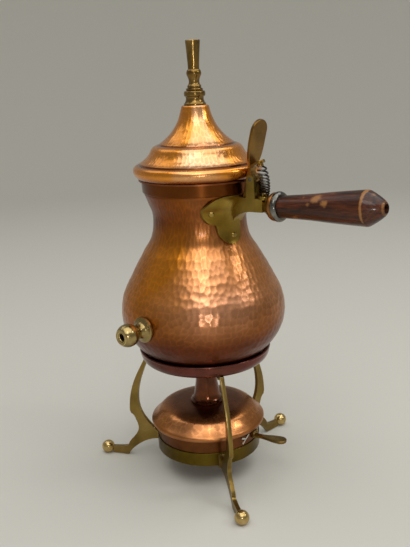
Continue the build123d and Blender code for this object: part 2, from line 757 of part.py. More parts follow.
# Finial: turned brass, with a bulb, rings and a tapered top, on a stud through the lid
with BuildPart() as finial:
    with BuildSketch(SECTION):
        with BuildLine():
            foot = Polyline(
                (0, lid_top), (FINIAL_BASE_R, lid_top), (FINIAL_BASE_R, lid_top + 1.4),
            )
            cove = Spline(
                foot @ 1, (6.8, lid_top + 5.0), (7.4, lid_top + 6.8), tangents=((-0.6, 1), (1, 0.5))
            )
            ring = Spline(
                cove @ 1, (8.0, lid_top + 8.4), (7.4, lid_top + 10.0), tangents=((0.4, 1), (-0.4, 1))
            )
            upper_ring = Spline(
                ring @ 1, (6.5, lid_top + 12.2), (5.4, lid_top + 13.4), tangents=((-1, 0.4), (-0.6, 1))
            )
            collar = Polyline(
                upper_ring @ 1, (5.6, lid_top + 14.0), (5.3, lid_top + 14.9), (4.6, lid_top + 15.4)
            )
            bulb = Spline(
                collar @ 1, (4.2, lid_top + 17.6), (5.85, lid_top + 22.2), (4.3, lid_top + 26.0),
                tangents=((-0.2, 1), (0, 1)),
            )
            shaft = Spline(
                bulb @ 1, (FINIAL_TOP_R, lid_top + FINIAL_H - 0.7), tangents=((0.02, 1), (0.12, 1))
            )
            Polyline(
                shaft @ 1, (FINIAL_TOP_R - 0.7, lid_top + FINIAL_H), (0, lid_top + FINIAL_H),
                (0, lid_top),
            )
        make_face()
    revolve(axis=AXIS)
    with BuildSketch(level(lid_top)):
        Circle(STUD_R)
    extrude(amount=-(LID_SHEET + NUT_H + 1.8))
finial.part.label = "finial"
export_step(finial.part, "parts/finial.step")

# Nut that draws the finial down on the lid
with BuildPart() as finial_nut:
    with BuildSketch(level(lid_top - LID_SHEET)):
        RegularPolygon(NUT_ACROSS / 2, 6, major_radius=False)
        Circle(STUD_R, mode=Mode.SUBTRACT)
    extrude(amount=-NUT_H)
finial_nut.part.label = "finial_nut"
export_step(finial_nut.part, "parts/finial_nut.step")

# Tap spout: turned brass shank, neck and ball, bored through, with its end cut flat
with BuildPart() as tap_spout:
    with BuildSketch(TAP):
        with BuildLine():
            rose_end = BELLY_R + 6.4
            ball_in = tap_ball_u - sqrt(TAP_BALL_R**2 - SHANK_R**2)
            end_r = sqrt(TAP_BALL_R**2 - (tap_end_u - tap_ball_u) ** 2)
            Polyline((shank_in_u, TAP_BORE), (shank_in_u, SHANK_R), (ball_in, SHANK_R))
            ThreePointArc((ball_in, SHANK_R), (tap_ball_u, TAP_BALL_R), (tap_end_u, end_r))
            Polyline(
                (tap_end_u, end_r), (tap_end_u, TAP_BORE + 1.2), (tap_end_u - 1.2, TAP_BORE),
                (shank_in_u, TAP_BORE),
            )
        make_face()
    revolve(axis=TAP_AXIS)
    with BuildSketch(Plane(TAP.origin + TAP.x_dir * shank_in_u, z_dir=TAP.x_dir)):
        Circle(PIPE_R)
    extrude(amount=PIPE_SOCKET, mode=Mode.SUBTRACT)
tap_spout.part.label = "tap_spout"
export_step(tap_spout.part, "parts/tap_spout.step")

# Rose: bell-shaped brass flange between the spout's neck and the belly
with BuildPart() as tap_rose:
    with BuildSketch(TAP):
        with BuildLine():
            rim = Polyline(
                (BELLY_R - 3, SHANK_R), (BELLY_R - 3, ROSE_R), (BELLY_R + 1.0, ROSE_R),
                (BELLY_R + 1.6, ROSE_R - 0.7),
            )
            bell = Spline(
                rim @ 1, (BELLY_R + 3.0, ROSE_R - 3.2), (rose_end, SHANK_R + 0.7),
                tangents=((0.35, -1), (1, -0.1)),
            )
            Polyline(bell @ 1, (rose_end, SHANK_R), (BELLY_R - 3, SHANK_R))
        make_face()
    revolve(axis=TAP_AXIS)
    add(pot_outside, mode=Mode.SUBTRACT)
tap_rose.part.label = "tap_rose"
export_step(tap_rose.part, "parts/tap_rose.step")

# Washer: fibre ring between the back nut and the inside of the belly
washer_u = BELLY_R - POT_SHEET - 1.0
with BuildPart() as tap_washer:
    with BuildSketch(Plane(TAP.origin + TAP.x_dir * (washer_u - WASHER_T), z_dir=TAP.x_dir)):
        Circle(WASHER_R)
        Circle(SHANK_R, mode=Mode.SUBTRACT)
    extrude(amount=2 * WASHER_T + 2)
    add(pot_inside, mode=Mode.INTERSECT)
tap_washer.part.label = "tap_washer"
export_step(tap_washer.part, "parts/tap_washer.step")

# Back nut of the tap
with BuildPart() as tap_nut:
    with BuildSketch(Plane(TAP.origin + TAP.x_dir * (washer_u - WASHER_T), z_dir=-TAP.x_dir)):
        RegularPolygon(TAP_NUT_ACROSS / 2, 6, major_radius=False)
        Circle(SHANK_R, mode=Mode.SUBTRACT)
    extrude(amount=TAP_NUT_H)
tap_nut.part.label = "tap_nut"
export_step(tap_nut.part, "parts/tap_nut.step")

# Outlet pipe: copper tube from the valve body to the tap's shank
with BuildPart() as outlet_pipe:
    with BuildSketch(Plane(TAP.origin + TAP.x_dir * (VALVE_BORE + 0.8), z_dir=TAP.x_dir)):
        Circle(PIPE_R)
        Circle(PIPE_R - PIPE_WALL, mode=Mode.SUBTRACT)
    extrude(amount=shank_in_u + PIPE_SOCKET - VALVE_BORE - 0.8)
outlet_pipe.part.label = "outlet_pipe"
export_step(outlet_pipe.part, "parts/outlet_pipe.step")

# Valve body: brass chamber on the pot's axis with a conical seat and a side outlet
seat_low = tap_z + VALVE_SEAT_H
seat_top = seat_low + SEAT_DEPTH
seat_r = VALVE_BORE + SEAT_DEPTH
with BuildPart() as valve_body:
    with BuildSketch(SECTION):
        with BuildLine():
            Polyline(
                (0, tap_z - VALVE_BELOW), (VALVE_R - 1, tap_z - VALVE_BELOW),
                (VALVE_R, tap_z - VALVE_BELOW + 1), (VALVE_R, seat_top + POCKET_H),
                (seat_r, seat_top + POCKET_H), (seat_r, seat_top), (VALVE_BORE, seat_low),
                (VALVE_BORE, tap_z - PIPE_R - 0.6), (0, tap_z - PIPE_R - 0.6), close=True,
            )
        make_face()
    revolve(axis=AXIS)
    with BuildSketch(Plane(TAP.origin, z_dir=TAP.x_dir)):
        Circle(PIPE_R - PIPE_WALL)
    extrude(amount=VALVE_R + 1, mode=Mode.SUBTRACT)
    with BuildSketch(Plane(TAP.origin + TAP.x_dir * (VALVE_BORE + 0.8), z_dir=TAP.x_dir)):
        Circle(PIPE_R)
    extrude(amount=VALVE_R, mode=Mode.SUBTRACT)
valve_body.part.label = "valve_body"
export_step(valve_body.part, "parts/valve_body.step")

# Valve rod: long brass rod with a cone plug at its foot
rod_top = crank_z + FORK_TOP + TOUCH + ROD_NUT_H + 1.6
with BuildPart() as valve_rod:
    with BuildSketch(SECTION):
        with BuildLine():
            plug = seat_low + TOUCH
            Polyline(
                (0, plug), (VALVE_BORE - 0.15, plug), (seat_r - 0.25, plug + SEAT_DEPTH - 0.1),
                (seat_r - 0.25, seat_top + POCKET_H - 0.4), (ROD_R, seat_top + POCKET_H + 2.4),
                (ROD_R, rod_top), (0, rod_top), close=True,
            )
        make_face()
    revolve(axis=AXIS)
valve_rod.part.label = "valve_rod"
export_step(valve_rod.part, "parts/valve_rod.step")

# Nut on the rod that the crank's fork lifts
with BuildPart() as rod_nut:
    with BuildSketch(level(crank_z + FORK_TOP + TOUCH)):
        RegularPolygon(ROD_NUT_ACROSS / 2, 6, major_radius=False)
        Circle(ROD_R, mode=Mode.SUBTRACT)
    extrude(amount=ROD_NUT_H)
rod_nut.part.label = "rod_nut"
export_step(rod_nut.part, "parts/rod_nut.step")

# Bell crank: brass, with an arm that the push rod meets and a fork round the valve rod
arm_half = CRANK_ARM_T / 2
with BuildPart() as bell_crank:
    with BuildSketch(SECTION):
        with Locations((CRANK_X / 2, crank_z)):
            SlotCenterToCenter(CRANK_X, 2 * FORK_TOP)
    extrude(amount=FORK_HALF_W, both=True)
    with BuildSketch(level(crank_z)):
        Rectangle(2 * FORK_SLOT_END, 2 * (ROD_R + TOUCH))
        for side in (1, -1):
            with Locations((FORK_SLOT_END + 2.5 + CRANK_X / 2, side * (CRANK_HALF_W + FORK_HALF_W) / 2)):
                Rectangle(CRANK_X, FORK_HALF_W - CRANK_HALF_W)
    extrude(amount=2 * FORK_TOP, both=True, mode=Mode.SUBTRACT)
    with BuildSketch(SECTION):
        with Locations((CRANK_X, (crank_z + push_z - 2) / 2)):
            SlotCenterToCenter(crank_z - push_z + 2, 2 * arm_half, rotation=90)
    extrude(amount=CRANK_HALF_W, both=True)
    with BuildSketch(SECTION):
        with Locations((CRANK_X, crank_z)):
            Circle(HUB_R)
    extrude(amount=HUB_HALF_W, both=True)
    with BuildSketch(SECTION):
        with Locations((CRANK_X, crank_z)):
            Circle(CRANK_PIN_R + RUNNING)
    extrude(amount=2 * HUB_HALF_W, both=True, mode=Mode.SUBTRACT)
bell_crank.part.label = "bell_crank"
export_step(bell_crank.part, "parts/bell_crank.step")

# Crank bracket: two brass cheeks on a curved foot soldered inside the neck
neck_in_r = NECK_R - POT_SHEET - SOLDER
cheek_in = HUB_HALF_W + TOUCH
cheek_low = push_z + 3.0
cheek_high = rim_z - COLLAR_DEPTH - 0.6
with BuildPart() as crank_bracket:
    with BuildSketch(SECTION):
        with BuildLine():
            Polyline(
                (CRANK_X - 1, crank_z - HUB_R), (NECK_R - 8, cheek_low), (NECK_R, cheek_low),
                (NECK_R, cheek_high), (NECK_R - 5, cheek_high), (CRANK_X + 1, crank_z + HUB_R), close=True,
            )
        make_face()
        with Locations((CRANK_X, crank_z)):
            Circle(HUB_R + 0.2)
            Circle(CRANK_PIN_R, mode=Mode.SUBTRACT)
    extrude(amount=cheek_in + CHEEK_T, both=True)
    with BuildSketch(Plane((POT_X, POT_Y, cheek_low))):
        with Locations((neck_in_r / 2 - 1, 0)):
            Rectangle(neck_in_r, 2 * cheek_in)
    extrude(amount=4 * HUB_R, both=True, mode=Mode.SUBTRACT)
    with BuildSketch(level(cheek_low)):
        with Locations((neck_in_r - 1, 0)):
            Rectangle(4, 11)
    extrude(amount=cheek_high - cheek_low)
    with BuildSketch(level(cheek_low - 8)):
        Circle(neck_in_r)
    extrude(amount=30, mode=Mode.INTERSECT)
crank_bracket.part.label = "crank_bracket"
export_step(crank_bracket.part, "parts/crank_bracket.step")

# Crank pin: brass rivet through both cheeks
with BuildPart() as crank_pin:
    with BuildSketch(SECTION):
        with Locations((CRANK_X, crank_z)):
            Circle(CRANK_PIN_R)
    extrude(amount=cheek_in + CHEEK_T, both=True)
    for side in (1, -1):
        with BuildSketch(SECTION.offset(side * (cheek_in + CHEEK_T))):
            with Locations((CRANK_X, crank_z)):
                Circle(CRANK_PIN_R + 0.7)
        extrude(amount=side * 0.8)
crank_pin.part.label = "crank_pin"
export_step(crank_pin.part, "parts/crank_pin.step")

# Guide bush: brass tube soldered through the neck, in which the push rod slides
bush_out = at_height(flare_line, push_z)[0] + 0.3
with BuildPart() as guide_bush:
    with BuildSketch(Plane((POT_X + bush_out - BUSH_LENGTH, POT_Y, push_z), z_dir=(1, 0, 0))):
        Circle(BUSH_R)
        Circle(ROD_R + RUNNING, mode=Mode.SUBTRACT)
    extrude(amount=BUSH_LENGTH)
guide_bush.part.label = "guide_bush"
export_step(guide_bush.part, "parts/guide_bush.step")

# Handle bracket: brass casting with a leaf plate on the pot, an arm, two ears and a cup
lean = radians(LEVER_LEAN)
lever_face_x = pivot_x - LEVER_SET / cos(lean) - (pivot_z - push_z) * tan(lean)
arm_top = handle_z + ARM_TOP_RISE
arm_low = handle_z + ARM_LOW_RISE
slot_end = lever_face_x + LEVER_T / cos(lean) + 1.8
pocket_z = arm_top - SLOT_DEPTH
ear_gap = LEVER_HALF_W + EAR_SIDE_PLAY
spring_foot = Vector(pivot_x + SPRING_FOOT[0], handle_z + SPRING_FOOT[1])
spring_head = Vector(pivot_x + SPRING_HEAD[0], handle_z + SPRING_HEAD[1])
chord = spring_head - spring_foot
bow_radius = (chord.length**2 / 4 + SPRING_BOW**2) / (2 * SPRING_BOW)
bow_half = asin(chord.length / 2 / bow_radius)
chord_turn = atan2(-chord.X, chord.Y)
foot_turn = chord_turn - bow_half
head_turn = chord_turn + bow_half


def in_section(x, z):
    """Point in space from a radius and a height in the handle's plane."""
    return Vector(POT_X + x, POT_Y, z)


foot_seat = Plane(
    in_section(spring_foot.X, spring_foot.Y), x_dir=(0, 1, 0), z_dir=(-sin(foot_turn), 0, cos(foot_turn))
)
head_seat = Plane(
    in_section(spring_head.X, spring_head.Y), x_dir=(0, 1, 0), z_dir=(-sin(head_turn), 0, cos(head_turn))
)


def leaf(across, down):
    """Point of the leaf plate's outline at a share of its half width and of its drop."""
    return (across * PLATE_HALF_W, plate_top - down * PLATE_DROP)


with BuildPart() as handle_bracket:
    with BuildSketch(Plane((POT_X, POT_Y, 0), x_dir=(0, 1, 0), z_dir=(1, 0, 0))):
        with BuildLine():
            top = Spline(
                leaf(0.29, 0), leaf(-0.43, -0.011), leaf(-0.91, 0.088), leaf(-1, 0.21),
                leaf(-0.98, 0.33), leaf(-0.88, 0.515), leaf(-0.68, 0.586),
                tangents=((-1, 0), (1, -0.1)),
            )
            lobe = Spline(
                top @ 1, leaf(-0.615, 0.807), leaf(-0.35, 1), leaf(-0.05, 0.95), leaf(0.08, 0.765),
                tangents=((0.5, -1), (0.1, 1)),
            )
            edge = Line(lobe @ 1, leaf(0.086, 0.39))
            Spline(
                edge @ 1, leaf(0.5, 0.408), leaf(0.857, 0.35), leaf(0.98, 0.21), leaf(0.715, 0.034),
                leaf(0.29, 0), tangents=((1, 0), (-1, 0)),
            )
        make_face()
    extrude(amount=NECK_R + 2 * PLATE_T)
    add(plate_outside, mode=Mode.INTERSECT)
    with BuildSketch(SECTION):
        with BuildLine():
            under = Spline(
                (cup_start, arm_low + 0.4), (NECK_R + 8.7, arm_low - 0.1),
                (NECK_R + 2.1, arm_low - 2.2), (NECK_R - 4.3, arm_low - WEB_DROP),
                tangents=((-1, 0), (-0.3, -1)),
            )
            Polyline(
                under @ 1, (WAIST_R - 6, arm_low - WEB_DROP), (WAIST_R - 6, arm_top),
                (cup_start - 3, arm_top), (cup_start, arm_top - 0.9), (cup_start, arm_low + 0.4),
            )
        make_face()
    extrude(amount=ARM_HALF_W, both=True)
    with BuildSketch(level(SEAT_Z)):
        with BuildLine():
            Polyline(
                (0, 2 * NECK_R), (0, -2 * NECK_R), (NECK_R + 2.7, -2 * NECK_R),
                (NECK_R + 3.7, -ARM_HALF_W),
                (cup_start - 5, -ARM_HALF_W), (cup_start, -4.4), (cup_start, 4.4),
                (cup_start - 5, ARM_HALF_W), (NECK_R + 3.7, ARM_HALF_W), (NECK_R + 2.7, 2 * NECK_R),
                close=True,
            )
        make_face()
    extrude(amount=2 * rim_z, mode=Mode.INTERSECT)
    with BuildSketch(HANDLE):
        with BuildLine():
            cup = Spline(
                (cup_start - 1, 4.3), (cup_start + 1.6, 5.0),
                (cup_end - 1.4, CUP_R - 1.2), (cup_end, CUP_R),
                tangents=((1, 0), (0.6, 1)),
            )
            Polyline(cup @ 1, (cup_end, 0), (cup_start - 1, 0), (cup_start - 1, 4.3))
        make_face()
    revolve(axis=HANDLE_AXIS)
    with BuildSketch(SECTION):
        with Locations((pivot_x, pivot_z)):
            Circle(EAR_R)
        with BuildLine():
            Polyline(
                (pivot_x - EAR_R, pivot_z), (pivot_x - EAR_R - 0.6, arm_top - 1),
                (pivot_x + EAR_R + 0.8, arm_top - 1), (pivot_x + EAR_R, pivot_z), close=True,
            )
        make_face()
    extrude(amount=ARM_HALF_W, both=True)
    with BuildSketch(foot_seat):
        Circle(SPRING_SEAT_R)
    extrude(amount=-2.5)
    with BuildSketch(foot_seat):
        Circle(PEG_R)
    extrude(amount=PEG_H)
    with BuildSketch(SECTION):
        with BuildLine():
            Polyline(
                (0, pocket_z), (slot_end, pocket_z), (slot_end, arm_top), (pivot_x + 3 * EAR_R, arm_top),
                (pivot_x + EAR_R + 0.4, 2 * rim_z), (0, 2 * rim_z), close=True,
            )
        make_face()
    extrude(amount=ear_gap, both=True, mode=Mode.SUBTRACT)
    with BuildSketch(SECTION):
        with Locations((pivot_x, pivot_z)):
            Circle(PIN_R)
    extrude(amount=2 * ARM_HALF_W, both=True, mode=Mode.SUBTRACT)
    with BuildSketch(Plane(HANDLE.origin + HANDLE.x_dir * cup_start, z_dir=HANDLE.x_dir)):
        Circle(HANDLE_ROD_R)
    extrude(amount=2 * CUP_R, mode=Mode.SUBTRACT)
    add(pot_outside, mode=Mode.SUBTRACT)
    for plane in RIVETS:
        with BuildSketch(plane.offset(-4 * POT_SHEET)):
            Circle(RIVET_R)
        extrude(amount=8 * POT_SHEET, mode=Mode.SUBTRACT)
handle_bracket.part.label = "handle_bracket"
export_step(handle_bracket.part, "parts/handle_bracket.step")

# Wall of the pot with the leaf plate on it, as one form
with BuildPart() as plated_wall:
    add(plate_outside)
    add(pot_inside, mode=Mode.SUBTRACT)

# Rivets of the leaf plate, through the plate and the pot, with domed heads on both sides
with BuildPart() as bracket_rivets:
    outer = PLATE_T + SOLDER
    for plane in RIVETS:
        with BuildSketch(plane.offset(-POT_SHEET - RIVET_HEAD_H)):
            Circle(RIVET_HEAD_R)
        extrude(amount=POT_SHEET + RIVET_HEAD_H + outer)
        with BuildSketch(plane.offset(outer)):
            Circle(RIVET_HEAD_R)
        extrude(amount=RIVET_HEAD_H, taper=35)
    add(plated_wall.part, mode=Mode.SUBTRACT)
    for plane in RIVETS:
        with BuildSketch(plane.offset(-POT_SHEET - 2 * SOLDER - 0.2)):
            Circle(RIVET_R)
        extrude(amount=POT_SHEET + outer + 2 * SOLDER + 0.4)
bracket_rivets.part.label = "bracket_rivets"
export_step(bracket_rivets.part, "parts/bracket_rivets.step")

rod_end = grip_end_s - NOSE_HOLE_DEPTH

# Ferrule: turned copper washer between the bracket's cup and the collar
with BuildPart() as ferrule:
    with BuildSketch(HANDLE):
        with BuildLine():
            edge = Spline(
                (cup_end, FERRULE_R - 0.6), (cup_end + 1.5, FERRULE_R), (collar_s, FERRULE_R - 0.4),
            )
            Polyline(
                edge @ 1, (collar_s, HANDLE_ROD_R), (cup_end, HANDLE_ROD_R), (cup_end, FERRULE_R - 0.6)
            )
        make_face()
    revolve(axis=HANDLE_AXIS)
ferrule.part.label = "ferrule"
export_step(ferrule.part, "parts/ferrule.step")

# Collar: polished steel ring that the grip is driven against
with BuildPart() as handle_collar:
    with BuildSketch(HANDLE):
        with BuildLine():
            edge = Spline(
                (collar_s, COLLAR_R - 0.7), (collar_s + 1.6, COLLAR_R), (grip_s, COLLAR_R - 1.6),
                tangents=((0.6, 1), (0.8, -1)),
            )
            Polyline(edge @ 1, (grip_s, HANDLE_ROD_R), (collar_s, HANDLE_ROD_R), (collar_s, COLLAR_R - 0.7))
        make_face()
    revolve(axis=HANDLE_AXIS)
handle_collar.part.label = "handle_collar"
export_step(handle_collar.part, "parts/handle_collar.step")

# Grip: turned hardwood, swelling to a ring line and ending in a cone with a hole in its nose
with BuildPart() as grip:
    with BuildSketch(HANDLE):
        with BuildLine():
            swell = Spline(
                (grip_s, GRIP_START_R), (grip_s + 22, GRIP_START_R + 1.0), (grip_max_s - 6, GRIP_R - 0.3),
                (grip_max_s, GRIP_R), tangents=((1, 0.03), (1, 0.01)),
            )
            cone = Spline(
                swell @ 1, (grip_end_s - 2.6, GRIP_NOSE_R + 2.1), (grip_end_s, GRIP_NOSE_R - 0.6),
                tangents=((1, -0.35), (0.6, -1)),
            )
            Polyline(
                cone @ 1, (grip_end_s, NOSE_HOLE_R), (rod_end, NOSE_HOLE_R),
                (rod_end, HANDLE_ROD_R), (grip_s, HANDLE_ROD_R), (grip_s, GRIP_START_R),
            )
        make_face()
    revolve(axis=HANDLE_AXIS)
grip.part.label = "grip"
export_step(grip.part, "parts/grip.step")

# Handle rod: steel rod from the cup through the grip, with a round head in the nose's hole
with BuildPart() as handle_rod:
    with BuildSketch(HANDLE):
        with BuildLine():
            Polyline(
                (cup_start, 0), (cup_start, HANDLE_ROD_R), (rod_end, HANDLE_ROD_R),
                (rod_end, NOSE_HOLE_R - 0.2), (rod_end + 1.6, NOSE_HOLE_R - 0.2), (rod_end + 2.2, 1.6),
                (rod_end + 2.2, 0), close=True,
            )
        make_face()
    revolve(axis=HANDLE_AXIS)
handle_rod.part.label = "handle_rod"
export_step(handle_rod.part, "parts/handle_rod.step")

# Lever: flat brass bar with a round paddle, a lug for the pin and a shelf for the spring
lever_normal = Vector(cos(lean), 0, -sin(lean))
pivot = in_section(pivot_x, pivot_z)
with BuildPart() as lever:
    with BuildSketch(Plane(pivot - lever_normal * LEVER_SET, x_dir=(0, 1, 0), z_dir=lever_normal)):
        with BuildLine():
            right = Polyline(
                (-LEVER_HALF_W, -LEVER_TAIL), (LEVER_HALF_W, -LEVER_TAIL), (LEVER_HALF_W, PADDLE_ROOT)
            )
            flank = Spline(
                right @ 1, (6.6, PADDLE_ROOT + 9), (PADDLE_HALF_W, LEVER_TOP - 8),
                tangents=((0.3, 1), (0.05, 1)),
            )
            crown = ThreePointArc(
                flank @ 1, (0, LEVER_TOP), (-PADDLE_HALF_W, LEVER_TOP - 8)
            )
            Spline(
                crown @ 1, (-6.6, PADDLE_ROOT + 9), (-LEVER_HALF_W, PADDLE_ROOT),
                tangents=((-0.05, -1), (0.3, -1)),
            )
            Line((-LEVER_HALF_W, PADDLE_ROOT), (-LEVER_HALF_W, -LEVER_TAIL))
        make_face()
    extrude(amount=LEVER_T)
    paddle = lever.edges().filter_by_position(Axis.Z, pivot_z + 12, 2 * rim_z)
    fillet(paddle, LEVER_T / 4)
    with BuildSketch(SECTION):
        with Locations((pivot_x, pivot_z)):
            Circle(LUG_R)
        with BuildLine():
            back = in_section(pivot_x, pivot_z) - lever_normal * (LEVER_SET - LEVER_T / 2)
            Polyline(
                (back.X - POT_X - 1.4, back.Z - 5.4), (pivot_x, pivot_z - LUG_R),
                (pivot_x, pivot_z + LUG_R), (back.X - POT_X + 1.4, back.Z + 5.4), close=True,
            )
        make_face()
    extrude(amount=LEVER_HALF_W, both=True)
    with BuildSketch(head_seat):
        with BuildLine():
            Polyline((-4.2, 6.6), (-4.2, 0), (4.2, 0), (4.2, 6.6), close=True)
        make_face()
        Circle(SPRING_SEAT_R - 0.1)
    extrude(amount=1.8)
    with BuildSketch(head_seat):
        Circle(PEG_R)
    extrude(amount=-PEG_H)
    with BuildSketch(SECTION):
        with Locations((pivot_x, pivot_z)):
            Circle(PIN_R + RUNNING)
    extrude(amount=2 * LEVER_HALF_W, both=True, mode=Mode.SUBTRACT)
lever.part.label = "lever"
export_step(lever.part, "parts/lever.step")

# Lever pin: steel pin riveted in the ears
with BuildPart() as lever_pin:
    with BuildSketch(SECTION):
        with Locations((pivot_x, pivot_z)):
            Circle(PIN_R)
    extrude(amount=ARM_HALF_W - 0.2, both=True)
lever_pin.part.label = "lever_pin"
export_step(lever_pin.part, "parts/lever_pin.step")

# Push rod: brass rod between the lever's tail and the bell crank
with BuildPart() as push_rod:
    push_in = CRANK_X + arm_half + TOUCH
    push_out = lever_face_x - TOUCH - (ROD_R - ROD_CHAMFER) * tan(lean)
    with BuildSketch(Plane((POT_X + push_in, POT_Y, push_z), z_dir=(1, 0, 0))):
        Circle(ROD_R)
    extrude(amount=push_out - push_in)
    chamfer(push_rod.edges().group_by(Axis.X)[0], ROD_CHAMFER)
    chamfer(push_rod.edges().group_by(Axis.X)[-1], ROD_CHAMFER)
push_rod.part.label = "push_rod"
export_step(push_rod.part, "parts/push_rod.step")

# Return spring: one steel wire wound on a bowed axis between the arm and the lever's shelf
bow_length = 2 * bow_half * bow_radius
lead = 2 * WIRE_R
coil_start = lead + 1.5
coil_end = bow_length - lead - 1.5


def spring_point(run, turns):
    """Point of the wire's centre at a run along the bowed axis and a number of turns round it."""
    turn = foot_turn + run / bow_radius
    centre_x = spring_foot.X + bow_radius * (cos(foot_turn + run / bow_radius) - cos(foot_turn))
    centre_z = spring_foot.Y + bow_radius * (sin(foot_turn + run / bow_radius) - sin(foot_turn))
    out = Vector(cos(turn), 0, sin(turn))
    angle = 2 * pi * turns
    round_it = out * cos(angle) + Vector(0, 1, 0) * sin(angle)
    return in_section(centre_x, centre_z) + round_it * COIL_R


def helix_point(share):
    """Point of the coil at a share of its turns."""
    return spring_point(coil_start + share * (coil_end - coil_start), share * COIL_TURNS)


def biarc(start, start_way, end, end_way):
    """Two tangent arcs from one point and direction to another."""
    span = end - start
    ways = start_way + end_way
    a = 2 * (start_way.dot(end_way) - 1)
    b = -2 * span.dot(ways)
    c = span.dot(span)
    reach = (-b - sqrt(b * b - 4 * a * c)) / (2 * a)
    first = start + start_way * reach
    second = end - end_way * reach
    middle = (first + second) * 0.5
    way = (second - first).normalized()
    TangentArc(start, middle, tangent=start_way)
    TangentArc(middle, end, tangent=way)


def helix_way(share):
    """Direction of the coil at a share of its turns."""
    step = 1e-4
    return (helix_point(share + step) - helix_point(share - step)).normalized()


quarters = int(4 * COIL_TURNS)
foot_way = foot_seat.z_dir
head_way = head_seat.z_dir
foot_start = spring_point(0, -0.2)
foot_rise = foot_start + foot_way * lead
head_end = spring_point(bow_length, COIL_TURNS + 0.2)
head_drop = head_end - head_way * lead
with BuildPart() as return_spring:
    with BuildLine() as wire:
        Line(foot_start, foot_rise)
        biarc(foot_rise, foot_way, helix_point(0), helix_way(0))
        for quarter in range(quarters):
            start = quarter / quarters
            end = (quarter + 1) / quarters
            biarc(helix_point(start), helix_way(start), helix_point(end), helix_way(end))
        biarc(helix_point(1), helix_way(1), head_drop, head_way)
        Line(head_drop, head_end)
    with BuildSketch(Plane(foot_start, z_dir=foot_way)):
        Circle(WIRE_R)
    sweep(path=wire.line)
return_spring.part.label = "return_spring"
export_step(return_spring.part, "parts/return_spring.step")

# The wire's least gap to itself, measured on points of its centre line
samples = [helix_point(i / 600) for i in range(601)]
window = int(600 / COIL_TURNS * 0.6)
least = min(
    (samples[i] - samples[j]).length
    for i in range(601)
    for j in range(i + window, min(601, i + 3 * window))
)
print("least gap of the spring's wire to itself:", round(least - 2 * WIRE_R, 3), "mm")
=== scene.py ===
import bpy
import numpy as np
from math import cos, pi, radians, sin
from mathutils import Matrix


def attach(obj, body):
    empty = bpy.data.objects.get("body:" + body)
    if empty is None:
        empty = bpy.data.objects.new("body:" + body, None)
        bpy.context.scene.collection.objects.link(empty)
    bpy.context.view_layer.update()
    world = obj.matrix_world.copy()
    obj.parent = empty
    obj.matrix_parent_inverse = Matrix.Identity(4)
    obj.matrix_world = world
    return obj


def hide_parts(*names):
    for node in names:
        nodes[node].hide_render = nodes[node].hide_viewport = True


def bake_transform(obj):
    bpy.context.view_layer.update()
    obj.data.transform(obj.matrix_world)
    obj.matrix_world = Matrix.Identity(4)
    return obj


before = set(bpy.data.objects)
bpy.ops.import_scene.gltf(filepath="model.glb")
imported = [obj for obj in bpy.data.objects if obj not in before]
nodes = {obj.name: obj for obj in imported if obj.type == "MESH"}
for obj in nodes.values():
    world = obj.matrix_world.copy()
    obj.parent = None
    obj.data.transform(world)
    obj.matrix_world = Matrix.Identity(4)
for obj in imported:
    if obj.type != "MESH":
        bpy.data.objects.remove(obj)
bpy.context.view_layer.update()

# Stand: a channel ring spun from copper sheet, three legs sawn from flat brass bar with turned ball feet,
# and a turned brass holder for the lamp. Screws under the ring and under the holder carry the legs.


def linear(colour):
    """Linear colour of an sRGB hex value: c / 12.92 up to 0.04045, ((c + 0.055) / 1.055) ** 2.4 above."""
    c = np.array([int(colour[i:i + 2], 16) for i in (1, 3, 5)]) / 255
    return (*np.where(c <= 0.04045, c / 12.92, ((c + 0.055) / 1.055) ** 2.4), 1.0)


def add_node(tree, kind, sockets=(), **settings):
    """Adds a node, gives it its settings, and fills its sockets with values or with other nodes' outputs."""
    node = tree.nodes.new(kind)
    for name, value in settings.items():
        setattr(node, name, value)
    for name, value in dict(sockets).items():
        if isinstance(value, bpy.types.NodeSocket):
            tree.links.new(value, node.inputs[name])
        else:
            node.inputs[name].default_value = value
    return node


def new_finish(name):
    """Empty material of that name, and its node tree."""
    finish = bpy.data.materials.new(name)
    finish.use_nodes = True
    finish.node_tree.nodes.clear()
    return finish, finish.node_tree


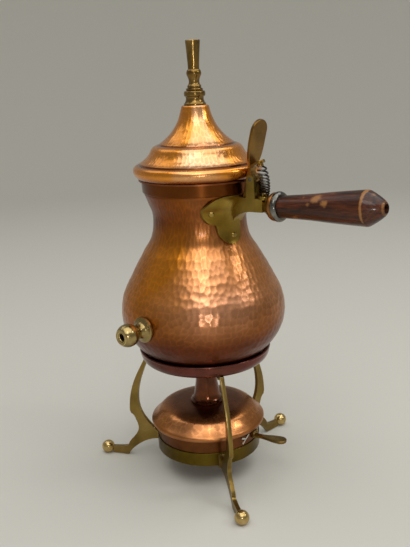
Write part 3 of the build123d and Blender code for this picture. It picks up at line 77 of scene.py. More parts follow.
def aged_metal(name, clean, tinted, tarnished, rough, patch_mm=26, tarnish=0.5, uneven=0.3, wear=0.5,
               lacquer=0.0, lines=(1.0, 1.0, 7.0), brushed=0.0):
    """Old metal in three colours: wide patches where the clean metal turns to its tinted shade, patches of
    tarnish with finer mottling over both, and hair scratches that change the gloss, as many times finer along
    each axis as lines says. The attribute worn keeps ridges cleaner and smoother, and tint adds to the tinted
    shade, which on the pot and the lid also paints reflection and highlight. A third attribute multiplies in
    a
    brown: painted shade on the pot's neck and under the lid's bead, painted reflection on the lamp's dome,
    and darkening elsewhere. A brushed metal is scratched round the upright axis, which draws its highlights
    out up and down."""
    # real hair scratches are a tenth of a millimetre apart: these are drawn much coarser, so that they show
    scratch_mm = 4.0
    # the wide patches are larger than the tarnish
    wide_mm = patch_mm / 0.6
    finish, tree = new_finish(name)
    place = add_node(tree, "ShaderNodeTexCoord").outputs["Object"]
    wide = add_node(tree, "ShaderNodeTexNoise", {"Vector": place, "Scale": 1000 / wide_mm, "Detail": 2.0})
    tint_and_painted_light = add_node(tree, "ShaderNodeAttribute", attribute_name="tint")
    shade = add_node(tree, "ShaderNodeMapRange", {"Value": wide.outputs[0], "From Min": 0.38,
                                                  "From Max": 0.66})
    shaded = add_node(tree, "ShaderNodeMath", {0: shade.outputs[0], 1: tint_and_painted_light.outputs["Fac"]}, use_clamp=True)
    metal_colour = add_node(tree, "ShaderNodeMix", {0: shaded.outputs[0], 6: linear(clean),
                                                    7: linear(tinted)}, data_type="RGBA")
    patches = add_node(tree, "ShaderNodeTexNoise", {"Vector": place, "Scale": 1000 / patch_mm,
                                                    "Detail": 5.0, "Roughness": 0.62})
    share = add_node(tree, "ShaderNodeMapRange", {
        "Value": patches.outputs[0], "From Min": 0.3, "From Max": 0.7, "To Min": tarnish - uneven,
        "To Max": tarnish + uneven})
    ridge = add_node(tree, "ShaderNodeAttribute", attribute_name="worn")
    kept = add_node(tree, "ShaderNodeMath", {0: ridge.outputs["Fac"], 1: -wear, 2: share.outputs[0]},
                    operation="MULTIPLY_ADD", use_clamp=True)
    colour = add_node(tree, "ShaderNodeMix", {0: kept.outputs[0], 6: metal_colour.outputs[2],
                                              7: linear(tarnished)}, data_type="RGBA")
    # brown multiplied in: painted shade on the pot's neck and under the lid's bead, painted reflection on the
    # dome, darkening elsewhere
    darkening_and_painted_shade = add_node(tree, "ShaderNodeAttribute", attribute_name="painted_shade_and_darkening")
    colour = add_node(tree, "ShaderNodeMix", {
        0: darkening_and_painted_shade.outputs["Fac"], 6: colour.outputs[2], 7: linear("#84602A")},
        data_type="RGBA", blend_type="MULTIPLY")
    stretched = add_node(tree, "ShaderNodeMapping", {"Vector": place, "Scale": lines})
    scratches = add_node(tree, "ShaderNodeTexNoise", {
        "Vector": stretched.outputs[0], "Scale": 1000 / scratch_mm, "Detail": 4.0, "Roughness": 0.7})
    gloss = add_node(tree, "ShaderNodeMapRange", {"Value": kept.outputs[0], "To Min": rough - 0.10,
                                                  "To Max": rough + 0.04})
    mixed = add_node(tree, "ShaderNodeMath", {0: scratches.outputs[0], 1: 0.10, 2: gloss.outputs[0]},
                     operation="MULTIPLY_ADD")
    relief = add_node(tree, "ShaderNodeBump", {"Height": scratches.outputs[0], "Strength": 0.05,
                                               "Distance": 0.0002})
    metal = add_node(tree, "ShaderNodeBsdfPrincipled", {
        "Base Color": colour.outputs[2], "Metallic": 1.0, "Roughness": mixed.outputs[0],
        "Normal": relief.outputs[0], "Anisotropic": brushed, "Anisotropic Rotation": 0.25,
        "Coat Weight": lacquer, "Coat Roughness": 0.17})
    add_node(tree, "ShaderNodeOutputMaterial", {"Surface": metal.outputs[0]})
    return finish


def dress(finish, *names):
    """Gives these CAD nodes the finish in every material slot."""
    for name in names:
        mesh = nodes[name].data
        if not len(mesh.materials):
            mesh.materials.append(finish)
        for slot in range(len(mesh.materials)):
            mesh.materials[slot] = finish


def ease_edges(width_mm, rubbed, *names):
    """Rounds the edges over 38 degrees of these CAD nodes and rubs them bright, as filing and years of
    handling do. Points that lie together are joined first, because a CAD mesh is loose triangles."""
    same_point_mm = 0.02
    for name in names:
        nodes[name].data.materials.append(rubbed)
        nodes[name].modifiers.new("joined", "WELD").merge_threshold = same_point_mm / 1000
        rounding = nodes[name].modifiers.new("eased", "BEVEL")
        rounding.width = width_mm / 1000
        rounding.segments = 2
        rounding.limit_method = "ANGLE"
        rounding.angle_limit = radians(38)
        rounding.harden_normals = True
        rounding.material = len(nodes[name].data.materials) - 1


# Dark spun copper: reddish brown and satin, with highlights that the spinning draws out
dress(aged_metal("spun_copper_dark", "#7E4230", "#864038", "#34160E", 0.24, lacquer=0.35, brushed=0.5),
      "stand_ring")
# Aged yellow brass bar: olive brown on its flat sides
dress(aged_metal("sawn_brass_olive", "#AE9156", "#9C8440", "#644E26", 0.30, patch_mm=24),
      "front_leg", "left_leg", "rear_leg", "ring_screws", "holder_screws")
# Brass edges that hands and cloths have rubbed pale
rubbed_brass = aged_metal("rubbed_brass_edge", "#E2CC92", "#D2B872", "#A08850", 0.26, patch_mm=8,
                          tarnish=0.3)
ease_edges(0.45, rubbed_brass, "front_leg", "left_leg", "rear_leg")
# Turned brass balls rubbed bright
dress(aged_metal("turned_brass_rubbed", "#E8CE94", "#D6B468", "#927238", 0.22, patch_mm=6, tarnish=0.4),
      "front_foot", "left_foot", "rear_foot")
# Turned brass ring: olive, satin
dress(aged_metal("turned_brass_olive", "#7E6826", "#6C5816", "#382A0C", 0.32, patch_mm=20, brushed=0.5),
      "lamp_holder")

# Spirit lamp: a copper bowl with a hammered dome rolled over its edge and a trumpet neck for the wick. A
# spoon-shaped brass tab is riveted to its side and a small nickel clip is soldered beside it. The lamp drops
# into its holder.

# the pot's upright axis, which the lamp and the lid share, in millimetres
POT_X, POT_Y = -34.042, -5.322


def smooth_line(knots, count):
    """Even points on a smooth line through knots: between two knots a cubic whose slope at each knot is that
    of the parabola through the knot and its neighbours."""
    points = np.array(knots, float)
    run = np.concatenate([[0], np.cumsum(np.linalg.norm(np.diff(points, axis=0), axis=1))])
    slope = np.gradient(points, run, axis=0, edge_order=min(2, len(points) - 1))
    at = np.linspace(0, run[-1], count)
    left = np.clip(np.searchsorted(run, at, side="right") - 1, 0, len(run) - 2)
    step = (run[left + 1] - run[left])[:, None]
    t = (at - run[left])[:, None] / step
    return ((2 * t**3 - 3 * t**2 + 1) * points[left] + (t**3 - 2 * t**2 + t) * step * slope[left]
            + (3 * t**2 - 2 * t**3) * points[left + 1] + (t**3 - t**2) * step * slope[left + 1])


def outline(parts, spacing):
    """Radii and heights along smooth lines that meet in corners, about that many millimetres apart."""
    lines = []
    for knots in parts:
        length = np.linalg.norm(np.diff(np.array(knots, float), axis=0), axis=1).sum()
        lines.append(smooth_line(knots, max(2, int(round(length / spacing)) + 1))[:-1])
    return np.vstack([*lines, np.array(parts[-1][-1:], float)])


def turned(line, across, sink=0.0):
    """Grid of a turned form: angle a runs round, x = X + (r - sink) cos a, y = Y + (r - sink) sin a,
    z = height, where sink lowers the skin along the outline's normal."""
    way = np.gradient(line, axis=0)
    normal = np.stack([way[:, 1], -way[:, 0]], axis=1) / np.linalg.norm(way, axis=1)[:, None]
    a = np.linspace(0, 2 * pi, across, endpoint=False)
    sink = np.broadcast_to(sink, (len(line), across))
    r = line[:, :1] - sink * normal[:, :1]
    z = line[:, 1:] - sink * normal[:, 1:]
    return np.stack([POT_X + r * np.cos(a), POT_Y + r * np.sin(a), z], axis=-1) / 1000


def seen_from_axis(grid):
    """Radius and height in millimetres, and bearing in radians, of each point seen from the pot's axis."""
    x, y = grid[..., 0] * 1000 - POT_X, grid[..., 1] * 1000 - POT_Y
    return np.hypot(x, y), grid[..., 2] * 1000, np.arctan2(y, x)


def fade(values, none_at, full_at):
    """Even change from 0 where the values are at none_at or short of it, to 1 where they reach full_at."""
    return np.clip((values - none_at) / (full_at - none_at), 0, 1)


def blows(line, across, width, height, depth, seed):
    """Planished skin, as how far each point lies below the smooth form and how near it is to a ridge. Blows
    fall in rings, each point belongs to the nearest blow in units of the blows' width and height, and the
    dent is a bowl: depth x (1 - distance squared / reach). Neighbouring bowls meet in a ridge. Width, height
    and depth are given in millimetres at heights on the form."""
    # how far the middle of a blow strays, in units of a blow, and in such units squared how unlike in
    # strength the blows are, how far a bowl reaches and how wide a ridge is
    stray, uneven, reach, ridge_width = 0.34, 0.25, 0.62, 0.26
    # depth of the blows from which a ridge shows in full
    full_ridge_mm = 0.1
    fewest_in_ring = 6
    rng = np.random.default_rng(seed)
    run = np.concatenate([[0], np.cumsum(np.linalg.norm(np.diff(line, axis=0), axis=1))])
    width, height, depth = (np.interp(line[:, 1], *np.array(given).T) for given in (width, height, depth))
    ring = np.concatenate([[0], np.cumsum(np.diff(run) / height[:-1])])
    # the middle of ring k lies at k - 0.5, so a few more rings are made than fit on the form
    rings = int(ring[-1]) + 4
    middle = np.interp(np.arange(rings) - 0.5, ring, np.arange(len(run))).astype(int)
    count = np.maximum(fewest_in_ring, (2 * pi * line[:, 0] / width)[middle]).astype(int)
    shift = rng.random(rings)
    jitter = rng.uniform(-stray, stray, (3, rings, count.max()))
    a = np.linspace(0, 1, across, endpoint=False)
    nearest = np.full((len(run), across), np.inf)
    second = nearest.copy()
    # k is a ring near each row, i a blow in it near each point, du and dv the distances from its middle
    for up in (0, 1, 2):
        k = np.floor(ring).astype(int) + up
        u = a * count[k][:, None] + shift[k][:, None]
        for side in (-1, 0, 1):
            i = np.floor(u).astype(int) + side
            which = (k[:, None] + 0 * i, i % count[k][:, None])
            du = u - i - 0.5 - jitter[0][which]
            dv = (ring - k + 0.5)[:, None] - jitter[1][which]
            far = du**2 + dv**2 + uneven * jitter[2][which]
            second = np.minimum(second, np.maximum(far, nearest))
            nearest = np.minimum(nearest, far)
    dent = depth[:, None] * np.clip(1 - nearest / reach, 0, 1)
    ridge = np.clip(1 - (second - nearest) / ridge_width, 0, 1)
    return dent, ridge * np.clip(depth / full_ridge_mm, 0, 1)[:, None]


def on_outside(values, inside_rows):
    """Values on the rows of the outer skin, and nothing on those of the inner one."""
    return np.vstack([values, np.zeros((inside_rows, values.shape[1]))])


def skin(name, grid, body, finish, slot, *replaced, worn=None, tint=None, painted_shade_and_darkening=None, poles=False):
    """Closed mesh over a grid of points whose columns and rows both run round, or whose first and last rows
    are closed with poles, smooth but for edges over 35 degrees. It rides on a body, if one is given, and
    stands for the nodes it replaces."""
    rows, columns = grid.shape[:2]
    index = np.arange(rows * columns).reshape(rows, columns)
    index = np.vstack([index, index[:1]]) if not poles else index
    right = np.roll(index, -1, axis=1)
    faces = np.stack([index[:-1], right[:-1], right[1:], index[1:]], axis=-1).reshape(-1, 4).tolist()
    if poles:
        faces += [index[0, ::-1].tolist(), index[-1].tolist()]
    mesh = bpy.data.meshes.new(name)
    mesh.from_pydata(grid.reshape(-1, 3).tolist(), [], faces)
    for label, values in (("worn", worn), ("tint", tint), ("painted_shade_and_darkening", painted_shade_and_darkening)):
        if values is not None:
            held = mesh.attributes.new(label, "FLOAT", "POINT").data
            held.foreach_set("value", values.ravel().astype(np.float32))
    mesh.shade_smooth()
    mesh.set_sharp_from_angle(angle=radians(35))
    mesh.materials.append(finish)
    piece = bpy.data.objects.new(name, mesh)
    bpy.context.scene.collection.objects.link(piece)
    if body:
        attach(piece, body)
    if replaced:
        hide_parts(*replaced)
    return piece


# the rolled bead of the rim, then the dome up to the neck
dome_outside = outline([
    [(41.2, 41.2), (43.6, 41.5), (45.4, 42.4), (46.1, 43.9), (45.9, 45.4), (45.1, 46.3)],
    [(45.1, 46.3), (43.6, 47.6), (41.6, 49.6), (39.6, 51.9), (37.4, 54.0), (34.6, 55.5), (30.0, 56.6),
     (23.0, 57.3), (16.1, 57.6), (7.7, 57.8)],
], spacing=0.9)
dome_inside = outline([
    [(7.7, 56.8), (16.0, 56.5), (22.8, 56.2), (29.6, 55.5), (33.9, 54.5), (36.6, 53.1), (38.8, 51.0),
     (40.8, 48.8), (42.8, 46.8), (44.4, 45.8), (45.0, 44.8)],
    [(45.0, 44.8), (44.3, 43.3), (42.6, 42.4), (38.8, 42.2)],
    [(38.8, 42.2), (38.8, 41.2)],
], spacing=2.5)
DOME_ACROSS = 320
dents, ridges = blows(
    dome_outside, DOME_ACROSS, width=[(0, 5.5), (60, 5.5)], height=[(0, 5), (60, 5)],
    depth=[(0, 0.0), (46, 0.0), (47, 0.04), (49, 0.08), (54, 0.08), (56, 0.04), (60, 0.02)], seed=3)
dome_grid = np.vstack([turned(dome_outside, DOME_ACROSS, dents), turned(dome_inside, DOME_ACROSS)[:-1]])
worn = on_outside(ridges, len(dome_inside) - 1)
# round its neck the dome is darkened as a painted reflection of the pot's dark underside
radius, _, _ = seen_from_axis(dome_grid)
painted_shade_and_darkening = 0.8 * fade(radius, none_at=37, full_at=27)
# Hammered copper of the lamp: warm brown, satin, with brighter ridges between shallow blows
lamp_copper = aged_metal("hammered_copper_lamp", "#D4905C", "#C47A2C", "#60320F", 0.30, patch_mm=40,
                         tarnish=0.45)
skin("lamp_dome_skin", dome_grid, "lamp", lamp_copper, "lamp_copper", "lamp_dome", worn=worn,
     painted_shade_and_darkening=painted_shade_and_darkening)
# Smooth copper: dark brown, thinly lacquered
dress(aged_metal("smooth_copper_lamp", "#88522A", "#7A481A", "#3E200C", 0.32, patch_mm=22, lacquer=0.1,
                 brushed=0.5),
      "lamp_bowl", "outlet_pipe")
# Drawn copper tube beside the flame: dark brown, glossy
dress(aged_metal("drawn_copper_dark", "#8E5026", "#80421A", "#38180A", 0.20, patch_mm=14, tarnish=0.55,
                 lacquer=0.4),
      "wick_tube")
# Sheet brass: yellow with brown patches, its edges rubbed
dress(aged_metal("sheet_brass_tab", "#B09458", "#9A7C3C", "#5A441E", 0.28, patch_mm=9),
      "lamp_tab", "tab_rivets")
ease_edges(0.4, rubbed_brass, "lamp_tab")
# Nickel plate on the small forked clip: bright, with dull spots
dress(aged_metal("nickel_plate", "#DCDAD4", "#CFCBBE", "#8E8A7E", 0.24, patch_mm=2.5, tarnish=0.25),
      "tab_clip")

# Twisted cotton: off-white strands that wind upwards, scorched over the last two millimetres. The wave draws
# a strand every 4.5 millimetres, coarser than real, so that it shows.
cotton, tree = new_finish("twisted_cotton")
place = add_node(tree, "ShaderNodeTexCoord").outputs["Object"]
split = add_node(tree, "ShaderNodeSeparateXYZ", {0: place})
strand = add_node(tree, "ShaderNodeTexWave", {"Vector": place, "Scale": 140.0, "Distortion": 3.0},
                  bands_direction="DIAGONAL")
scorch = add_node(tree, "ShaderNodeMapRange", {"Value": split.outputs[2], "From Min": 0.0870,
                                               "From Max": 0.0893})
colour = add_node(tree, "ShaderNodeMix", {0: scorch.outputs[0], 6: linear("#D9D0B8"),
                                          7: linear("#3A322A")}, data_type="RGBA")
relief = add_node(tree, "ShaderNodeBump", {"Height": strand.outputs["Fac"], "Strength": 0.6,
                                           "Distance": 0.0006})
cloth = add_node(tree, "ShaderNodeBsdfPrincipled", {"Base Color": colour.outputs[2], "Roughness": 0.9,
                                                    "Normal": relief.outputs[0]})
add_node(tree, "ShaderNodeOutputMaterial", {"Surface": cloth.outputs[0]})
dress(cotton, "wick")

# Pot: one piece of copper raised from a disc and planished all over with a round-faced hammer, with a smooth
# copper strap soldered round the neck and a tinned disc soldered in the foot.
pot_outside = outline([
    [(44.5, 98.6), (44.5, 103.0)],
    [(44.5, 103.0), (52.57, 110.4), (59.3, 119.05), (63.55, 129.1), (64.5, 140.0), (62.2, 152.2),
     (56.76, 163.4), (50.9, 174.4), (44.76, 185.2), (38.34, 195.9), (36.0, 208.0), (36.2, 215.7),
     (38.74, 222.9), (41.3, 230.0)],
    [(41.3, 230.0), (41.3, 240.4)],
], spacing=0.90)
pot_inside = outline([
    [(40.1, 240.4), (40.1, 230.2)],
    [(40.1, 230.2), (37.6, 223.4), (35.0, 216.0), (34.8, 208.0), (37.2, 196.3), (43.7, 184.6),
     (49.85, 173.8), (55.7, 162.8), (61.0, 151.9), (63.3, 140.0), (62.4, 129.4), (58.25, 119.6),
     (51.7, 111.3), (43.8, 104.1)],
    [(43.3, 103.2), (43.3, 98.6)],
], spacing=6.0)
POT_ACROSS = 440
# round blows on the belly, long upright ones on the neck, none under the strap
dents, ridges = blows(
    pot_outside, POT_ACROSS,
    width=[(98, 5.0), (140, 4.9), (160, 4.2), (190, 3.4), (205, 2.7), (230, 2.6)],
    height=[(98, 5.2), (140, 5.0), (160, 5.0), (185, 6.5), (205, 11.0), (230, 12.0)],
    depth=[(98, 0.0), (104, 0.03), (112, 0.22), (130, 0.34), (165, 0.34), (190, 0.26), (205, 0.19),
           (228, 0.14), (231, 0.0)],
    seed=7)
# the raising hammer leaves a slow swell and hollow under the fine blows, a tenth of a millimetre either way
SWELL = 0.10
run = np.linspace(0, 1, len(pot_outside))[:, None]
angle = np.linspace(0, 2 * pi, POT_ACROSS, endpoint=False)
swell = SWELL * (1 + np.sin(5 * angle + 9 * run) * np.sin(17 * run + 2 * angle)) * np.sin(pi * run)
pot_grid = np.vstack([turned(pot_outside, POT_ACROSS, dents + swell), turned(pot_inside, POT_ACROSS)])
worn = on_outside(ridges, len(pot_inside))
# the belly darkens towards the foot, and the neck is darkened as painted shade, least on the side towards
# the lamps, between the front and the grip
_, height, bearing = seen_from_axis(pot_grid)
LIGHT_SIDE = -0.35
neck_painted_shade = 0.92 - 0.22 * np.cos(bearing - LIGHT_SIDE)
painted_shade_and_darkening = (fade(height, none_at=158, full_at=124)
           + neck_painted_shade * fade(height, none_at=188, full_at=212))
# the golden on both flanks is painted warm reflection, and the foot is golden too, which leaves a pale
# front between the flanks as painted highlight. A flank fades out where the cosine of the bearing from its
# middle falls to its limit.
TAP_FLANK, TAP_FLANK_LIMIT = radians(-132), 0.2
GRIP_FLANK, GRIP_FLANK_LIMIT = 0.9, 0.42
golden_and_painted_light = (1.5 * np.maximum(np.cos(bearing - TAP_FLANK) - TAP_FLANK_LIMIT, 0)
          + 0.9 * np.maximum(np.cos(bearing - GRIP_FLANK) - GRIP_FLANK_LIMIT, 0)
          + 0.6 * fade(height, none_at=150, full_at=120))
# Hammered copper under old lacquer: orange brown with brighter ridges and browner ground between them; its
# pale pink clean colour shows at the front as painted highlight
pot_copper = aged_metal("hammered_copper_pot", "#E6A47A", "#E88E1C", "#84501E", 0.34, patch_mm=60,
                        tarnish=0.4, uneven=0.4, wear=0.35, lacquer=0.25, lines=(2.0, 2.0, 2.0))
skin("pot_skin", pot_grid, "pot", pot_copper, "pot_copper", "pot_body", worn=worn, tint=golden_and_painted_light,
     painted_shade_and_darkening=painted_shade_and_darkening)
# Tinned copper: dull grey
dress(aged_metal("tinned_copper", "#B9B4A8", "#A9A294", "#857F72", 0.40), "pot_base")
# Smooth copper strap: dark brown, unlacquered, with highlights that the polishing draws out
dress(aged_metal("strap_copper_dark", "#90542A", "#84481C", "#402008", 0.28, patch_mm=40, brushed=0.7),
      "neck_band")

# Tap and valve work: turned brass shank with a ball cut flat and a domed rose against the belly. Inside the
# pot are its washer and nut, a pipe, a valve with its rod, and the crank that the push rod turns.

# Polished brass: yellow, with soft brown patches
tap_brass = aged_metal("turned_brass_polished", "#C4AE78", "#AC945C", "#6A5632", 0.22, patch_mm=12,
                       tarnish=0.45)
dress(tap_brass, "tap_spout", "tap_rose", "tap_nut", "valve_body", "valve_rod", "rod_nut", "bell_crank",
      "crank_bracket", "crank_pin", "guide_bush", "push_rod")
ease_edges(0.3, rubbed_brass, "tap_spout")

# Vulcanised fibre: dull red brown, mottled with short fibres, drawn coarser than real so that they show
fibre, tree = new_finish("vulcanised_fibre")
place = add_node(tree, "ShaderNodeTexCoord").outputs["Object"]
fluff = add_node(tree, "ShaderNodeTexNoise", {"Vector": place, "Scale": 1000 / 0.8, "Detail": 4.0})
colour = add_node(tree, "ShaderNodeMix", {0: fluff.outputs[0], 6: linear("#6E2C22"),
                                          7: linear("#A04A3A")}, data_type="RGBA")
relief = add_node(tree, "ShaderNodeBump", {"Height": fluff.outputs[0], "Strength": 0.3,
                                           "Distance": 0.0001})
sheet = add_node(tree, "ShaderNodeBsdfPrincipled", {"Base Color": colour.outputs[2], "Roughness": 0.75,
                                                    "Normal": relief.outputs[0]})
add_node(tree, "ShaderNodeOutputMaterial", {"Surface": sheet.outputs[0]})
dress(fibre, "tap_washer")

# Lid: copper hammered in three steps, a bell with long upright marks, a shoulder and a rolled bead, with a
# turned brass finial drawn down on its top by a nut.
lid_outside = outline([
    [(44.6, 241.6), (46.9, 243.4), (48.3, 245.6), (48.8, 247.7), (48.2, 249.9), (46.5, 251.4),
     (43.8, 251.9)],
    [(43.8, 251.9), (43.4, 253.1)],
    [(43.4, 253.1), (40.9, 254.9), (38.5, 256.9), (36.5, 259.3), (35.0, 262.0)],
    [(35.0, 262.0), (33.5, 264.1), (31.0, 265.5), (28.2, 266.0)],
    [(28.2, 266.0), (27.9, 266.8)],
    [(27.9, 266.8), (22.8, 270.85), (18.3, 275.5), (14.7, 280.9), (12.1, 286.85), (10.4, 293.1)],
    [(10.4, 293.1), (9.6, 293.9)],
    [(9.6, 293.9), (2.5, 293.9)],
], spacing=0.62)
lid_inside = outline([
    [(2.5, 292.9), (9.4, 292.9)],
    [(9.4, 292.9), (11.1, 286.6), (13.8, 280.3), (17.5, 274.8), (22.1, 270.1), (27.3, 265.6)],
    [(27.3, 265.6), (30.6, 264.5), (32.8, 263.3), (34.1, 261.5)],
    [(34.1, 261.5), (35.7, 258.7), (37.9, 256.1), (40.4, 254.0), (42.8, 252.4)],
    [(42.8, 252.4), (43.5, 250.9), (46.0, 250.3), (47.3, 249.1), (47.8, 247.6), (47.2, 245.6),
     (45.9, 243.4), (44.2, 242.6)],
    [(44.2, 242.6), (42.4, 242.6)],
    [(42.4, 242.6), (42.4, 241.6)],
], spacing=2.5)
LID_ACROSS = 480
# the blows stop at the grooves between the steps and are faint on the bead
dents, ridges = blows(
    lid_outside, LID_ACROSS,
    width=[(241, 5.5), (252, 3.2), (262, 3.0), (266, 3.2), (270, 3.2), (280, 2.7), (294, 2.3)],
    height=[(241, 5.0), (252, 5.0), (253, 6.0), (262, 6.0), (266, 6.0), (267, 6.5), (294, 8.0)],
    depth=[(241, 0.0), (243, 0.03), (250, 0.06), (251.8, 0.0), (253.4, 0.03), (254.5, 0.24), (261, 0.22),
           (263, 0.08), (265.9, 0.03), (267, 0.06), (268.5, 0.23), (284, 0.22), (291, 0.08), (293, 0.0)],
    seed=11)
lid_grid = np.vstack([turned(lid_outside, LID_ACROSS, dents), turned(lid_inside, LID_ACROSS)])
worn = on_outside(ridges, len(lid_inside))
# the two grooves, given by their heights and widths, are darker, and painted shade darkens the lid under
# the bead
up_lid = lid_outside[:, 1]
grooves = sum(np.exp(-((up_lid - z) / wide)**2) for z, wide in ((252.4, 0.7), (266.3, 0.5)))
grooves_and_bead_shade = np.minimum(1, 1.3 * grooves + fade(up_lid, none_at=246, full_at=242))
painted_shade_and_darkening = on_outside(np.broadcast_to(grooves_and_bead_shade[:, None], ridges.shape), len(lid_inside))
# one pale side, facing the front lamps, is a painted highlight, and all the rest is golden, the bead at
# least half so
PAINTED_HIGHLIGHT_TO, PAINTED_HIGHLIGHT_HALF, PAINTED_HIGHLIGHT_EDGE = radians(-38), radians(17), radians(22)
_, height, bearing = seen_from_axis(lid_grid)
from_painted_highlight = np.abs((bearing - PAINTED_HIGHLIGHT_TO + pi) % (2 * pi) - pi)
golden_and_painted_light = np.clip((from_painted_highlight - PAINTED_HIGHLIGHT_HALF) / PAINTED_HIGHLIGHT_EDGE, 0, 1)
golden_and_painted_light = np.maximum(golden_and_painted_light, 0.55 * fade(height, none_at=253, full_at=252))
# Hammered copper under yellowed lacquer: golden orange, cleaner than the pot, and pale pink on the side of
# its painted highlight
lid_copper = aged_metal("hammered_copper_lid", "#F8D6B2", "#F0982E", "#AC6A26", 0.30, patch_mm=50,
                        tarnish=0.2, wear=0.4, lacquer=0.4, lines=(2.0, 2.0, 2.0))
skin("lid_skin", lid_grid, "lid", lid_copper, "lid_copper", "lid", worn=worn, tint=golden_and_painted_light,
     painted_shade_and_darkening=painted_shade_and_darkening)
# Plain copper sheet: brown, satin
dress(aged_metal("collar_copper", "#A9663E", "#99562E", "#6A3820", 0.3), "lid_collar")

# stud, crisp steps, coves, a bulb and a straight taper, turned in one piece
finial_line = outline([
    [(0.3, 287.6), (2.5, 287.6)],
    [(2.5, 287.6), (2.5, 293.9)],
    [(2.5, 293.9), (8.2, 293.9)],
    [(8.2, 293.9), (8.2, 295.2)],
    [(8.2, 295.2), (7.7, 295.7)],
    [(7.7, 295.7), (7.0, 297.0), (6.6, 298.7), (6.9, 300.2)],
    [(6.9, 300.2), (7.7, 300.6)],
    [(7.7, 300.6), (7.95, 302.2), (7.75, 303.7)],
    [(7.75, 303.7), (7.4, 304.1)],
    [(7.4, 304.1), (6.1, 304.5)],
    [(6.1, 304.5), (6.3, 305.3), (6.1, 306.0)],
    [(6.1, 306.0), (5.0, 306.5)],
    [(5.0, 306.5), (5.2, 307.3), (5.0, 308.1)],
    [(5.0, 308.1), (4.2, 309.2), (3.9, 311.0), (4.2, 312.8), (4.9, 314.5), (5.5, 316.3), (5.4, 317.8),
     (4.9, 318.9), (4.2, 319.6)],
    [(4.2, 319.6), (4.3, 323.0), (4.7, 329.5), (5.5, 339.5)],
    [(5.5, 339.5), (5.1, 340.0)],
    [(5.1, 340.0), (0.3, 340.0)],
], spacing=0.3)
FINIAL_ACROSS = 96
# Turned brass gone brown, its highlights drawn out up and down
browned_brass = aged_metal("turned_brass_browned", "#B89458", "#9A783E", "#4A3818", 0.20, patch_mm=10,
                           brushed=0.5)
skin("finial_turned", turned(finial_line, FINIAL_ACROSS), "lid", browned_brass, "finial_brass", "finial",
     poles=True)
dress(browned_brass, "finial_nut")

# Handle: a cast brass bracket riveted to the pot, a copper ferrule, a steel collar and a turned wooden grip
# on a steel rod.

# Cast brass, filed and browned: olive, brighter on its rubbed edges
dress(aged_metal("cast_brass_olive", "#B09448", "#98782C", "#6A521E", 0.30, patch_mm=20),
      "handle_bracket")
ease_edges(0.5, rubbed_brass, "handle_bracket")
# Brass rivets: their heads rubbed yellow
dress(aged_metal("rivet_brass", "#C2A45E", "#B09044", "#7A6230", 0.22, patch_mm=5, tarnish=0.35),
      "bracket_rivets")
# Turned copper: golden brown
dress(aged_metal("turned_copper_ferrule", "#B88048", "#A87032", "#5E3818", 0.28, patch_mm=8), "ferrule")
# Bright turned steel, greyed in its hollows
dress(aged_metal("turned_steel", "#96948E", "#74716A", "#34312C", 0.18, patch_mm=6, tarnish=0.45),
      "handle_collar", "handle_rod", "lever_pin")

# the grip's axis starts on the pot's axis at this height and rises towards its nose
HANDLE_Z = 219.1
RISE = radians(4.2)
# distances from the pot's axis and radii: the taper, the rubbed corner, the nose and the hole for the rod
grip_line = outline([
    [(77.9, 7.9), (88.0, 8.35), (99.9, 8.95), (120.0, 10.5), (138.5, 11.62), (144.1, 11.9)],
    [(144.1, 11.9), (144.35, 11.6), (144.8, 11.6), (145.0, 11.75)],
    [(145.0, 11.75), (149.5, 9.3), (154.4, 6.1), (156.2, 4.6), (157.0, 3.4)],
    [(157.0, 3.4), (157.0, 3.0)],
    [(157.0, 3.0), (153.0, 3.0)],
    [(153.0, 3.0), (153.0, 2.2)],
    [(153.0, 2.2), (77.9, 2.2)],
], spacing=0.8)
GRIP_ACROSS = 96
a = np.linspace(0, 2 * pi, GRIP_ACROSS, endpoint=False)
s, rho = grip_line[:, :1], grip_line[:, 1:]
# turned by hand, the grip is a little oval, and the oval winds along it, while the hole and the tip stay
# round. Each ring stands square to the axis, y = -r sin a and z = r cos a, and is then tilted by the rise.
WOBBLE, ROUND_UP_TO_R = 0.06, 4.5
wobble = WOBBLE * np.sin(2 * a + 0.05 * s) * (rho > ROUND_UP_TO_R)
y = -(rho + wobble) * np.sin(a)
z = (rho + wobble) * np.cos(a)
grip_grid = np.stack([POT_X + s * cos(RISE) - z * sin(RISE), POT_Y + y,
                      HANDLE_Z + s * sin(RISE) + z * cos(RISE)], axis=-1) / 1000

# places that hands and knocks have rubbed bare: distance along the axis, turn in radians from the top towards
# the front, length, width in radians and how bare
rubs = np.zeros_like(z)
for s_mm, turn_to, long_mm, wide, strength in (
        (110, 0.75, 6.0, 0.50, 0.55), (99, 0.60, 2.5, 0.30, 0.42), (121, 0.3, 3.5, 0.25, 0.40),
        (117, 1.15, 5.0, 0.35, 0.44), (104, 1.25, 3.0, 0.30, 0.42), (149.5, 0.25, 2.5, 0.45, 0.46),
        (127, 1.5, 3.0, 0.2, 0.30), (92, 2.4, 5.0, 0.4, 0.40), (116, 3.9, 6.0, 0.45, 0.50),
        (134, 5.2, 4.0, 0.4, 0.40)):
    off = (a - turn_to + pi) % (2 * pi) - pi
    rubs = np.maximum(rubs, strength * np.exp(-((s - s_mm) / long_mm)**2 - (off / wide)**2))
# the corner is rubbed most on top, and the rim of the nose all round
CORNER, NOSE = 144.6, 156.3
on_top = 0.5 + 0.5 * np.cos(a - 0.5)
corner = (0.30 + 0.42 * on_top) * np.exp(-((s - CORNER) / (0.5 + 0.9 * on_top))**2) * (rho > 9)
rubs = np.maximum(rubs, corner)
rubs = np.maximum(rubs, 0.40 * np.exp(-((s - NOSE) / 0.9)**2) * (rho > 3.2))

